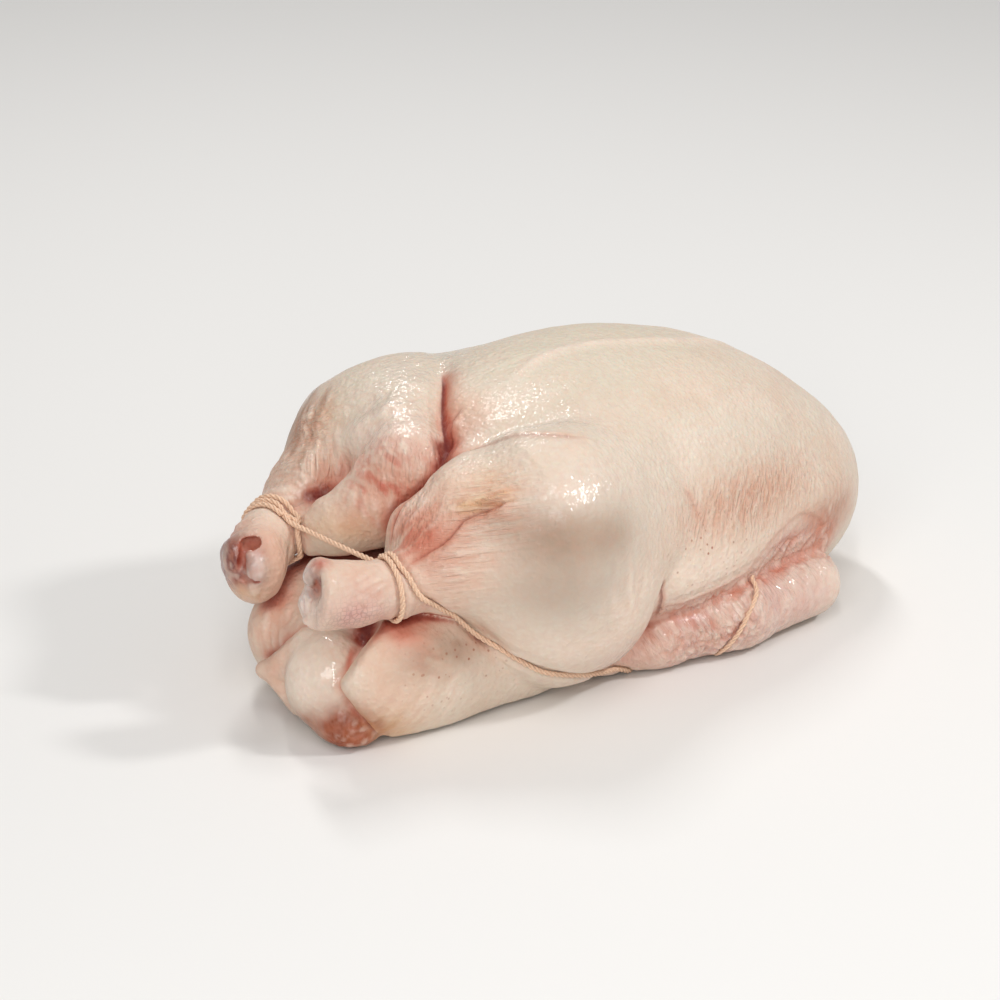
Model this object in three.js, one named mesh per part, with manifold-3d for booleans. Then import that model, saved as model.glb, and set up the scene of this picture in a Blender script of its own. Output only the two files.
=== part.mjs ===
// A whole raw duck, trussed with kitchen twine and lying on its back with the breast up.
// Millimetres. +X runs from the tail to the neck end, +Y to the far side, +Z up. The bird rests on z = 0.
import * as THREE from 'three';
import { triTable } from 'three/addons/objects/MarchingCubes.js';
import { mergeVertices } from 'three/addons/utils/BufferGeometryUtils.js';
import Module from 'manifold-3d';

// Forms that come in pairs are given for one side: the second number is the distance out from the middle.
const BREAST = { centre: [28, 15, 57.5], radii: [120, 60, 64], pitch: -10 };
const CROP = { centre: [98, 22, 42], radii: [47, 40, 37] };
const NECK_FOLD = { centre: [116, 0, 21], radii: [27, 30, 18] };
const PELVIS = { centre: [-82, 0, 25], radii: [58, 48, 31] };
const RUMP = { centre: [-55, 30, 26], radii: [60, 30, 34] };
const NEAR_HIP = { centre: [-98, 31, 25], radii: [54, 25, 31] };
const FAR_HIP = { centre: [-95, 27, 25], radii: [46, 24, 30] };
const HAUNCH = { centre: [-42, 51, 61], radii: [51, 37, 56] };
const FLANK = { centre: [15, 48, 48], radii: [62, 31, 24] };
const SHOULDER = { centre: [84, 46, 36], radii: [30, 22, 18] };
const TAIL = { centre: [-136, -17, 22], radii: [19, 19, 21], yaw: 25 };
const TAIL_TIP = { centre: [-137, -29, 9], radii: [14, 14, 11], yaw: 25 };

// Limbs: stations of [along, out, up, radius].
const DRUMSTICK = [[-60, 52, 74, 37], [-92, 44, 71, 20.5], [-119, 39, 66, 11.5]];
const NEAR_HOCK = [[-119, 39, 66, 11], [-138, 34, 67, 12], [-151, 29, 69, 14.5]];
const FAR_HOCK = [[-119, 39, 67, 11], [-131, 33, 64, 11.5], [-137, 29, 62, 12]];
const FAR_JOINT = { centre: [-141, 26, 60], radii: [9.5, 12.5, 16], yaw: 38 };
const NEAR_FLAP = [[-104, 22, 64, 8], [-97, 27, 79, 12], [-82, 36, 88, 16], [-56, 42, 89, 24]];
const FAR_FLAP = [[-112, 24, 66, 8], [-104, 16, 72, 12], [-92, 8, 78, 15], [-76, 4, 90, 20],
  [-58, 24, 90, 25], [-36, 36, 91, 24]];
const WING = [[-20, 52, 12, 11], [5, 58, 14, 14], [43, 66, 16, 16], [86, 66, 16, 15]];

// The breast rolls down to each leg: the way in plan towards the leg, how far it goes, and its rounding.
const BREAST_ENDS = [
  { way: [-0.748, 0.663], reach: 47.3, round: 8 },
  { way: [-0.637, -0.77], reach: 66, round: 6 },
];
// The skin over the near hip ends in a free edge: places [along, out, up] on it and the ways out past it.
const HIP_EDGES = [
  { at: [-138, 35, 38], past: [-0.474, -0.714, 0.517] },
  { at: [-138, 38, 17], past: [-0.742, -0.336, -0.58] },
];

// Creases in the skin, laid on it: stations of [along, out, up, depth]. A side of 1 is far, -1 near.
const WEB_FAR = [[-118, 28, 76, 3], [-110, 24, 82, 5], [-103, 18, 87, 5], [-96, 16, 93, 2],
  [-90, 16, 97, 0]];
const WEB_NEAR = [[-120, 46, 77, 4], [-108, 50, 89, 5], [-96, 53, 95, 4], [-84, 58, 99, 1.5],
  [-76, 62, 102, 0]];
const UNDER_THIGH = [[-117, 52, 61, 3], [-92, 55, 42, 6], [-68, 69, 25, 4], [-36, 69, 12, 4],
  [-14, 60, 6, 3]];
const KNEE_FRONT = [[2, 75, 62, 0], [-6, 78, 50, 1.5], [-12, 79, 40, 3], [-11, 66, 18, 3]];
const CREASES = [
  { sides: [1], width: 5, path: WEB_FAR },
  { sides: [-1], width: 5, path: WEB_NEAR },
  { sides: [-1, 1], width: 5, path: UNDER_THIGH },
  { sides: [-1, 1], width: 6, path: KNEE_FRONT },
];

const MIDDLE = -3.95;        // middle of the bird's length, moved to the origin
const HOCK_CUT = 3;          // how far past its last station a hock is cut off
const FLOOR_ROUND = 5;       // rounding of the edge round the flat underside
const LEG_BLEND = 4;         // fillet between a leg and the body
const KNEE_BLEND = 14;       // how much wider it is in front of the knee, where the skin spans

// The faceted skin is finer where the legs are: [from, cell] along the bird, then the cells across and up.
const CELLS_ALONG = [[-175, 6.1], [-50, 7.6], [30, 9.6], [175, 0]];
const CELL_ACROSS = 7.2;
const CELL_UP = 7.2;

const TWINE_RADIUS = 1.3;
const TWINE_GAP = 0.35;      // space between the twine and the skin that it presses into
const TWINE_SIDES = 6;
const TWINE_STEP = 6.5;      // length of one facet of the twine
const TWINE_SINK = -0.4;     // height of the twine's middle above the skin
const TWINE_FLOOR = 1.65;    // lowest height of the twine's middle, under the back
const WRAP_PITCH = 3.1;      // distance between turns round an ankle
// Runs of twine under the thigh and round the wing: guide points of [along, out, up].
const THIGH_RUN = [[-119, 50, 67], [-112, 52, 60], [-102, 52, 51], [-91, 54, 42], [-83, 59, 34.5],
  [-76, 64, 28.5], [-66, 68, 22], [-50, 69, 16], [-38, 69, 12], [-20, 62, 6]];
const THIGH_TUCK = [[-2, 54, 2], [12, 42, 1.7], [20, 32, 1.7]];
const WING_RUN = [[44, 78, 29], [36, 82, 22], [30, 81, 12], [27, 75, 4.5]];
const WING_UNDER = [[31, 63, 1.8], [38, 45, 1.65]];
const WING_TUCK = [46, 70, 33];

// Smooth minimum of two distances: forms join with a fillet about as wide as blend.
function join(a, b, blend) {
  const h = Math.max(blend - Math.abs(a - b), 0) / blend;
  return Math.min(a, b) - (h * h * blend) / 4;
}
const carve = (a, b, blend) => -join(-a, b, blend);

// Distance to an ellipsoid, turned about Z by yaw and then tipped by pitch, in degrees.
function blob({ centre: [cx, cy, cz], radii: [rx, ry, rz], yaw = 0, pitch = 0 }) {
  const [cosYaw, cosPitch] = [yaw, pitch].map((angle) => Math.cos(THREE.MathUtils.degToRad(angle)));
  const [sinYaw, sinPitch] = [yaw, pitch].map((angle) => Math.sin(THREE.MathUtils.degToRad(angle)));
  return (x, y, z) => {
    const [dx, dy, dz] = [x - cx, y - cy, z - cz];
    const along = cosYaw * dx + sinYaw * dy;
    const u = cosPitch * along + sinPitch * dz;
    const v = cosYaw * dy - sinYaw * dx;
    const w = cosPitch * dz - sinPitch * along;
    const k0 = Math.hypot(u / rx, v / ry, w / rz);
    const k1 = Math.hypot(u / (rx * rx), v / (ry * ry), w / (rz * rz));
    return k1 > 1e-9 ? (k0 * (k0 - 1)) / k1 : -Math.min(rx, ry, rz);
  };
}

// Distance to a limb: round sections of changing radius along its stations.
function limb(stations, blend) {
  return (x, y, z) => {
    let d = Infinity;
    for (let i = 0; i + 1 < stations.length; i++) {
      const [ax, ay, az, ar] = stations[i];
      const [ex, ey, ez] = stations[i + 1].map((v, q) => v - stations[i][q]);
      const along = ((x - ax) * ex + (y - ay) * ey + (z - az) * ez) / (ex * ex + ey * ey + ez * ez);
      const t = THREE.MathUtils.clamp(along, 0, 1);
      const radius = ar + t * (stations[i + 1][3] - ar);
      const near = Math.hypot(x - ax - t * ex, y - ay - t * ey, z - az - t * ez) - radius;
      d = i ? join(d, near, blend) : near;
    }
    return d;
  };
}

// A hock is a limb cut off square a little past its last station.
function hock(stations) {
  const round = limb(stations, 6);
  const [a, b] = stations.slice(-2).map((s) => new THREE.Vector3(...s));
  const axis = b.clone().sub(a).normalize();
  const end = axis.dot(b) + HOCK_CUT;
  return (x, y, z) => carve(round(x, y, z), end - axis.x * x - axis.y * y - axis.z * z, 2.5);
}

const lobe = blob(BREAST), crop = blob(CROP), pelvis = blob(PELVIS), rump = blob(RUMP);
const haunch = blob(HAUNCH), flank = blob(FLANK), shoulder = blob(SHOULDER);
const tail = blob(TAIL), tailTip = blob(TAIL_TIP), neckFold = blob(NECK_FOLD);
const drumstick = limb(DRUMSTICK, 10), wing = limb(WING, 6);
const nearHip = blob(NEAR_HIP), farHip = blob(FAR_HIP);
const nearFlap = limb(NEAR_FLAP, 8), farFlap = limb(FAR_FLAP, 8);
const nearHock = hock(NEAR_HOCK), farHock = limb(FAR_HOCK, 6), farJoint = blob(FAR_JOINT);

function breast(x, y, z) {
  let d = join(lobe(x, y, z), lobe(x, -y, z), 20);
  for (const { way, reach, round } of BREAST_ENDS) d = carve(d, reach - way[0] * x - way[1] * y, round);
  return d;
}

function cutHip(x, out, z) {
  let d = nearHip(x, out, z);
  for (const { at, past } of HIP_EDGES) {
    const short = past[0] * (at[0] - x) + past[1] * (at[1] - out) + past[2] * (at[2] - z);
    d = carve(d, short, 3);
  }
  return d;
}

// The hip, the flap of skin and the hock differ from side to side.
const SIDES = [
  { side: -1, hip: cutHip, flap: nearFlap, hock: nearHock },
  { side: 1, hip: farHip, flap: farFlap, hock: (x, y, z) => join(farHock(x, y, z), farJoint(x, y, z), 4) },
];

// The bird without its creases.
function forms(x, y, z) {
  let d = join(breast(x, y, z), pelvis(x, y, z), 18);
  d = join(d, neckFold(x, y, z), 6);
  const knee = THREE.MathUtils.smoothstep(x, -48, 2) * THREE.MathUtils.smoothstep(z, 40, 74);
  for (const { side, hip, flap, hock: end } of SIDES) {
    const out = side * y;
    d = join(d, crop(x, out, z), 16);
    d = join(d, rump(x, out, z), 12);
    d = join(d, hip(x, out, z), 6);
    d = join(d, flank(x, out, z), 10);
    d = join(d, shoulder(x, out, z), 8);
    let leg = join(haunch(x, out, z), drumstick(x, out, z), 14);
    leg = join(leg, flap(x, out, z), 12);
    leg = join(leg, end(x, out, z), 6);
    d = join(d, leg, LEG_BLEND + KNEE_BLEND * knee);
    d = join(d, wing(x, out, z), 2.5);
  }
  return join(d, join(tail(x, y, z), tailTip(x, y, z), 6), 3);
}

// Which crossed cube edges share one sheet of surface, from the table of surface patterns in a cube.
const CORNERS = [[0, 0, 0], [1, 0, 0], [1, 1, 0], [0, 1, 0], [0, 0, 1], [1, 0, 1], [1, 1, 1], [0, 1, 1]];
const EDGES = [[0, 1], [1, 2], [2, 3], [3, 0], [4, 5], [5, 6], [6, 7], [7, 4],
  [0, 4], [1, 5], [2, 6], [3, 7]];
function sheetsOf(pattern) {
  const sheet = new Array(12).fill(-1);
  for (let t = pattern * 16; triTable[t] !== -1; t += 3) {
    const edges = [triTable[t], triTable[t + 1], triTable[t + 2]];
    const mine = Math.min(...edges);
    const known = edges.map((e) => sheet[e]).filter((s) => s >= 0);
    sheet.forEach((s, e) => {
      if (edges.includes(e) || known.includes(s)) sheet[e] = Math.min(mine, ...known);
    });
  }
  return sheet;
}
const SHEETS = Array.from({ length: 256 }, (_, pattern) => sheetsOf(pattern));

// The four cells round a crossed grid edge, each with the edge's number there.
const ROUND = [
  [[0, 0, 0, 0], [0, -1, 0, 2], [0, -1, -1, 6], [0, 0, -1, 4]],
  [[0, 0, 0, 3], [0, 0, -1, 7], [-1, 0, -1, 5], [-1, 0, 0, 1]],
  [[0, 0, 0, 8], [-1, 0, 0, 9], [-1, -1, 0, 10], [0, -1, 0, 11]],
];

// Closed mesh of a distance field: one vertex for each sheet of surface in a grid cell.
function skin(field, xs, ys, zs) {
  const [nx, ny, nz] = [xs.length, ys.length, zs.length];
  const at = (i, j, k) => (k * ny + j) * nx + i;
  const value = new Float64Array(nx * ny * nz);
  const everyCell = (from, visit) => {
    for (let k = from; k + 1 < nz; k++)
      for (let j = from; j + 1 < ny; j++)
        for (let i = from; i + 1 < nx; i++) visit(i, j, k);
  };
  zs.forEach((z, k) => ys.forEach((y, j) => xs.forEach((x, i) => { value[at(i, j, k)] = field(x, y, z); })));
  const points = [];
  const cells = new Map();
  everyCell(0, (i, j, k) => {
    const inside = CORNERS.map(([a, b, c]) => value[at(i + a, j + b, k + c)] < 0);
    const sheet = SHEETS[inside.reduce((sum, yes, n) => sum + (yes ? 1 << n : 0), 0)];
    const sums = new Map();
    EDGES.forEach(([m, n], e) => {
      if (sheet[e] < 0) return;
      const [a, b] = [CORNERS[m], CORNERS[n]];
      const [va, vb] = [a, b].map((c) => value[at(i + c[0], j + c[1], k + c[2])]);
      const [pa, pb] = [a, b].map((c) => new THREE.Vector3(xs[i + c[0]], ys[j + c[1]], zs[k + c[2]]));
      const sum = sums.get(sheet[e]) ?? { total: new THREE.Vector3(), count: 0 };
      sum.total.add(pa.lerp(pb, va / (va - vb)));
      sum.count += 1;
      sums.set(sheet[e], sum);
    });
    if (!sums.size) return;
    const ids = new Map();
    for (const [s, { total, count }] of sums) ids.set(s, points.push(total.divideScalar(count)) - 1);
    cells.set(at(i, j, k), sheet.map((s) => ids.get(s)));
  });
  const faces = [];
  everyCell(1, (i, j, k) => ROUND.forEach((round, axis) => {
    const here = value[at(i, j, k)] < 0;
    const there = value[at(i + (axis === 0), j + (axis === 1), k + (axis === 2))] < 0;
    if (here === there) return;
    const [a, b, c, d] = round.map(([di, dj, dk, e]) => cells.get(at(i + di, j + dj, k + dk))[e]);
    faces.push(...(here ? [a, b, c, a, c, d] : [a, c, b, a, d, c]));
  }));
  return { points, faces };
}

// Slope of a field at a point.
function slope(field, { x, y, z }) {
  const e = 0.05;
  const g = new THREE.Vector3();
  g.x = field(x + e, y, z) - field(x - e, y, z);
  g.y = field(x, y + e, z) - field(x, y - e, z);
  g.z = field(x, y, z + e) - field(x, y, z - e);
  return g.divideScalar(2 * e);
}

// Moves a point along the slope of a field until the field has the wanted level there.
function settle(point, field, level, rounds, reach) {
  for (let r = 0; r < rounds; r++) {
    const g = slope(field, point);
    const off = level - field(point.x, point.y, point.z);
    const move = THREE.MathUtils.clamp(off / Math.max(g.lengthSq(), 0.2), -reach, reach);
    point.addScaledVector(g, move);
  }
  return point;
}

// How deep a crease is at a point: full depth on its line, fading out over its width.
function crease(width, stations) {
  const laid = stations.map(([x, y, z]) => settle(new THREE.Vector3(x, y, z), forms, 0, 8, 2));
  return (x, y, z) => {
    let deepest = 0;
    for (let i = 0; i + 1 < laid.length; i++) {
      const [from, to] = [laid[i], laid[i + 1]];
      const [ex, ey, ez] = [to.x - from.x, to.y - from.y, to.z - from.z];
      const [px, py, pz] = [x - from.x, y - from.y, z - from.z];
      const along = (px * ex + py * ey + pz * ez) / (ex * ex + ey * ey + ez * ez);
      const t = THREE.MathUtils.clamp(along, 0, 1);
      const away = Math.hypot(px - t * ex, py - t * ey, pz - t * ez) / width;
      const depth = THREE.MathUtils.lerp(stations[i][3], stations[i + 1][3], t);
      deepest = Math.max(deepest, depth * Math.exp(-away * away));
    }
    return deepest;
  };
}
const creases = CREASES.flatMap(({ sides, width, path }) =>
  sides.map((side) => crease(width, path.map(([x, out, z, depth]) => [x, side * out, z, depth]))));

function duck(x, y, z) {
  let d = forms(x, y, z);
  if (d < 25) d += Math.max(...creases.map((depth) => depth(x, y, z)));
  return carve(d, z, FLOOR_ROUND);
}

// Grid lines whose spacing changes along the way: each station holds until the next one.
function gridLines(stations) {
  const lines = [];
  for (let i = 0; i + 1 < stations.length; i++) {
    const [low, cell] = stations[i];
    const high = stations[i + 1][0];
    const n = Math.ceil((high - low) / cell);
    for (let k = 0; k < n; k++) lines.push(low + ((high - low) * k) / n);
  }
  return lines;
}

function bodyMesh(cellsAlong, cellAcross, cellUp) {
  const xs = gridLines(cellsAlong);
  const ys = gridLines([[-106, cellAcross], [106, 0]]);
  const zs = gridLines([[-8, cellUp], [142, 0]]);
  const { points, faces } = skin(duck, xs, ys, zs);
  for (const p of points) settle(p, duck, 0, 3, 2);
  return new THREE.BufferGeometry().setFromPoints(points).setIndex(faces);
}

// Turns of twine round an ankle, from one angle to another, a pitch apart along the leg.
function wrap(side, centre, axis, from, to) {
  const out = new THREE.Vector3(0, side, 0).projectOnPlane(axis).normalize();
  const up = new THREE.Vector3(0, 0, 1).projectOnPlane(axis).normalize();
  const count = Math.ceil(Math.abs(to - from) / 24);
  return Array.from({ length: count + 1 }, (_, i) => {
    const angle = THREE.MathUtils.degToRad(from + ((to - from) * i) / count);
    const turn = Math.abs((to - from) * i) / count / 360;
    const p = new THREE.Vector3(...centre).addScaledVector(axis, WRAP_PITCH * turn);
    p.addScaledVector(out, 13 * Math.cos(angle)).addScaledVector(up, 13 * Math.sin(angle));
    return settle(p, duck, TWINE_SINK + 1, 6, 2);
  });
}

const mirrored = (points, side) => points.map(([x, out, z]) => new THREE.Vector3(x, side * out, z));
const onSkin = (points) => points.map((p) => settle(p, duck, TWINE_SINK, 8, 2));
const aboveFloor = (points) => {
  for (const p of points) p.z = Math.max(p.z, TWINE_FLOOR);
  return points;
};

const thighRun = (side) => aboveFloor([...onSkin(mirrored(THIGH_RUN, side)), ...mirrored(THIGH_TUCK, side)]);
const ankleAxis = (side) => new THREE.Vector3(19, side * 6, 0).normalize();
const legTwine = [
  ...thighRun(1).reverse(),
  ...wrap(1, [-118, 38.5, 66.5], ankleAxis(1).negate(), -10, 865),
  ...wrap(-1, [-124, -37, 66], ankleAxis(-1), 145, -290),
  ...thighRun(-1),
];
const wingSide = (side) => [
  ...mirrored([WING_TUCK], side),
  ...aboveFloor(onSkin(mirrored(WING_RUN, side))),
  ...mirrored(WING_UNDER, side),
];
const wingTwine = [...wingSide(-1), ...wingSide(1).reverse()];

function tube(points, radius) {
  const path = new THREE.CatmullRomCurve3(points, false, 'centripetal');
  const section = new THREE.Shape().absarc(0, 0, radius, 0, 2 * Math.PI, false);
  const steps = Math.round(path.getLength() / TWINE_STEP);
  const options = { steps, curveSegments: TWINE_SIDES / 2, extrudePath: path, bevelEnabled: false };
  return new THREE.ExtrudeGeometry(section, options);
}

const wasm = await Module();
wasm.setup();
function solid(geometry) {
  const plain = new THREE.BufferGeometry().setAttribute('position', geometry.getAttribute('position'));
  const merged = mergeVertices(plain.setIndex(geometry.getIndex()), 1e-4);
  const vertProperties = merged.getAttribute('position').array;
  const triVerts = new Uint32Array(merged.getIndex().array);
  return new wasm.Manifold(new wasm.Mesh({ numProp: 3, vertProperties, triVerts }));
}
function geometryOf(manifold) {
  const { vertProperties, triVerts } = manifold.getMesh();
  const position = new THREE.BufferAttribute(new Float32Array(vertProperties), 3);
  return new THREE.BufferGeometry().setAttribute('position', position).setIndex([...triVerts]);
}

let body = solid(bodyMesh(CELLS_ALONG, CELL_ACROSS, CELL_UP));
for (const path of [legTwine, wingTwine]) body = body.subtract(solid(tube(path, TWINE_RADIUS + TWINE_GAP)));
// Turns that nearly touch can leave a sliver of skin between their grooves.
body = body.decompose().reduce((most, piece) => (piece.volume() > most.volume() ? piece : most));

const part = new THREE.Group();
function add(name, geometry, color, roughness) {
  const material = new THREE.MeshStandardMaterial({ color, roughness, metalness: 0 });
  const mesh = new THREE.Mesh(geometry.translate(-MIDDLE, 0, 0), material);
  mesh.name = name;
  part.add(mesh);
}
add('duck', geometryOf(body), 0xe6cfb8, 0.4);
add('leg_twine', tube(legTwine, TWINE_RADIUS), 0xd8b48a, 0.9);
add('wing_twine', tube(wingTwine, TWINE_RADIUS), 0xd8b48a, 0.9);
export default part;
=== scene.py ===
"""Looks for a whole raw duck, trussed with kitchen twine and lying on its back with the breast up.

The tables hold millimetres in the bird's own frame: along to the neck end, out to the far side, up.
"""

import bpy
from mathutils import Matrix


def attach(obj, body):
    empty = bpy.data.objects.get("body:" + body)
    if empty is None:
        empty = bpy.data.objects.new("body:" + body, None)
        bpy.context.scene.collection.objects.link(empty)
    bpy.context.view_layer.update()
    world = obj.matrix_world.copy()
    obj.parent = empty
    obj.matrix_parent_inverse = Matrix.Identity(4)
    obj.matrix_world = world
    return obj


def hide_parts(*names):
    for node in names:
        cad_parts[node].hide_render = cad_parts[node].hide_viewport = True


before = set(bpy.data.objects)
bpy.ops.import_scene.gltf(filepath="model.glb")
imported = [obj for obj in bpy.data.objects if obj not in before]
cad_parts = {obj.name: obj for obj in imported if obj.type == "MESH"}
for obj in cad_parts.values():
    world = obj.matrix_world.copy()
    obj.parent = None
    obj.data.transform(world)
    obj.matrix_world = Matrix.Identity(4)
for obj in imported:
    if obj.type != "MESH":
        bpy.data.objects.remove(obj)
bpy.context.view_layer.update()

import math

import bpy
import numpy as np
import openvdb
from mathutils import Matrix, Vector

bl_info = {
    "name": "Raw Duck Looks",
    "version": (1, 0, 0),
    "blender": (4, 5, 0),
    "location": "3D View > Sidebar > Duck",
    "description": "Builds the skin, the twine and the stage of a trussed raw duck",
    "category": "Add Mesh",
}

MM = 0.001
MIDDLE = -3.95  # middle of the bird's length, moved to the origin

# Forms that come in pairs are given for one side: the second number is the distance out from the middle.
BREAST = dict(centre=(28, 15, 57.5), radii=(120, 60, 64), pitch=-10)
# The breast rolls down to each leg: direction in plan, how far it goes that way, and the rounding.
BREAST_ENDS = (((-0.748, 0.663), 47.3, 8), ((-0.637, -0.770), 66, 6))
CROP = dict(centre=(98, 22, 42), radii=(47, 40, 37))
NECK_FOLD = dict(centre=(116, 0, 21), radii=(27, 30, 18))
PELVIS = dict(centre=(-82, 0, 25), radii=(58, 48, 31))
RUMP = dict(centre=(-55, 30, 26), radii=(60, 30, 34))
NEAR_HIP = dict(centre=(-98, 31, 25), radii=(54, 25, 31))
FAR_HIP = dict(centre=(-95, 27, 25), radii=(46, 24, 30))
# The skin over the near hip ends in a free edge: points on it and directions out past it.
HIP_EDGE = (((-138, 35, 38), (-0.474, -0.714, 0.517)), ((-138, 38, 17), (-0.742, -0.336, -0.580)))
HAUNCH = dict(centre=(-42, 51, 61), radii=(51, 37, 56))
FLANK = dict(centre=(15, 48, 48), radii=(62, 31, 24))
SHOULDER = dict(centre=(84, 46, 36), radii=(30, 22, 18))
TAIL = dict(centre=(-136, -17, 22), radii=(19, 19, 21), yaw=25)
TAIL_TIP = dict(centre=(-137, -29, 9), radii=(14, 14, 11), yaw=25)
# A fold of skin beside the tail runs out to a point: where it starts on the tail, and the point.
TAIL_FOLD = ((-137, -4, 35, 6), (-139, -5, 23, 8), (-142, -3, 9, 5))
TAIL_POINT = (-146, 15, 19, 2)

# Limbs: stations of along, out, up and radius.
DRUMSTICK = ((-60, 52, 74, 37), (-92, 44, 71, 20.5), (-119, 39, 66, 11.5))
NEAR_HOCK = ((-119, 39, 66, 11), (-138, 34, 67, 12), (-151, 29, 69, 14.5))
FAR_HOCK = ((-119, 39, 67, 11), (-131, 33, 64, 11.5), (-137, 29, 62, 12))
FAR_JOINT = dict(centre=(-141, 26, 60), radii=(9.5, 12.5, 16), yaw=38)
NEAR_FLAP = ((-104, 22, 64, 8), (-97, 27, 79, 12), (-82, 36, 88, 16), (-56, 42, 89, 24))
FAR_FLAP = (
    (-112, 24, 66, 8), (-104, 16, 72, 12), (-92, 8, 78, 15),
    (-76, 4, 90, 20), (-58, 24, 90, 25), (-36, 36, 91, 24),
)
WING = ((-20, 52, 12, 11), (5, 58, 14, 14), (43, 66, 16, 16), (86, 66, 16, 15))
# The cut end of the near hock: how far past its last station, its knobs, a tag of skin and the hollow bone.
HOCK_CUT = 3
NEAR_KNOBS = (((-150, 27, 76), (6, 7, 6)), ((-151, 25, 63), (6, 7, 8)))
NEAR_TAG = ((-149, 33, 60, 4.5), (-157, 27, 58.5, 1.2))
NEAR_BONE = ((-157.5, 32, 73), (5, 3, 6))
# The bare joint of the far hock: its knobs with their fillets, the torn hollow above and the grooves.
FAR_KNOBS = (((-145, 19, 62), (4.5, 4.5, 6.5), 1.5), ((-147.5, 31, 64), (5, 6, 8), 2.5))
FAR_HOLLOW = ((-143, 24, 71.5), (5, 4, 2.8))
FAR_GROOVES = (
    ((-146, 25, 70.5, 2), (-150.5, 23, 61, 1.2)),
    ((-153, 29, 59, 1.2), (-149.5, 22, 57.5, 1.5), (-146, 17.5, 58, 1)),
)
HOCK_EDGE = 1.5  # rounding of what is cut into a hock
FLOOR_ROUND = 5
# Widths of the fillets that join the forms.
FILLET = dict(
    breast=20, pelvis=18, neck=6, crop=16, rump=12, hip=6, flank=10, shoulder=8,
    haunch=14, near_flap=7, hock=6, wing=2.5, tail_tip=6, tail_fold=4, tail=3,
)

# Deep creases laid on the skin: the sides they are on, their width, and stations of along, out, up and depth.
CREASES = (
    ((1,), 2.4, (
        (-119, 31, 76, 3), (-112, 28, 79, 6), (-105, 24, 84, 6), (-98, 20, 89, 3), (-93, 14, 98, 0))),
    ((-1,), 2.6, (
        (-120, 44, 77, 4), (-107, 50, 85, 5), (-96, 52, 92, 4), (-88, 58, 96, 1.5), (-78, 64, 101, 0))),
    ((-1, 1), 3.0, (
        (-117, 52, 61, 4), (-92, 55, 42, 6), (-68, 69, 25, 4), (-36, 69, 12, 4), (-14, 60, 6, 3))),
    ((-1, 1), 3.0, ((2, 75, 62, 0), (-6, 78, 50, 1.5), (-12, 79, 40, 3), (-11, 66, 18, 3))),
)

# Runs of twine under the thigh and round the wing: guide points of along, out and up.
THIGH_RUN = (
    (-119, 50, 67), (-112, 52, 60), (-102, 52, 51), (-91, 54, 42), (-83, 59, 34.5),
    (-76, 64, 28.5), (-66, 68, 22), (-50, 69, 16), (-38, 69, 12), (-20, 62, 6),
)
THIGH_TUCK = ((-2, 54, 2), (12, 42, 1.7), (20, 32, 1.7))
WING_RUN = ((44, 78, 29), (36, 82, 22), (30, 81, 12), (27, 75, 4.5))
WING_UNDER = ((31, 63, 1.8), (38, 45, 1.65))
WING_TUCK = ((46, 70, 33),)
TWINE_FLOOR = 1.5
TWINE_LIFT = 0.4  # height of the twine's middle over the skin
# Turns of twine round the ankles: where they start and the angles they run between, in degrees.
FAR_WRAP = dict(centre=(-118, 38.5, 66.5), start=-10, stop=865)
NEAR_WRAP = dict(centre=(-124, -37, 66), start=145, stop=-290)
WRAP_PITCH = 3.1
WRAP_LIFT = 0.7
WRAP_RADIUS = 13
WRAP_STEP = 24  # degrees between guide points of a turn

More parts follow.
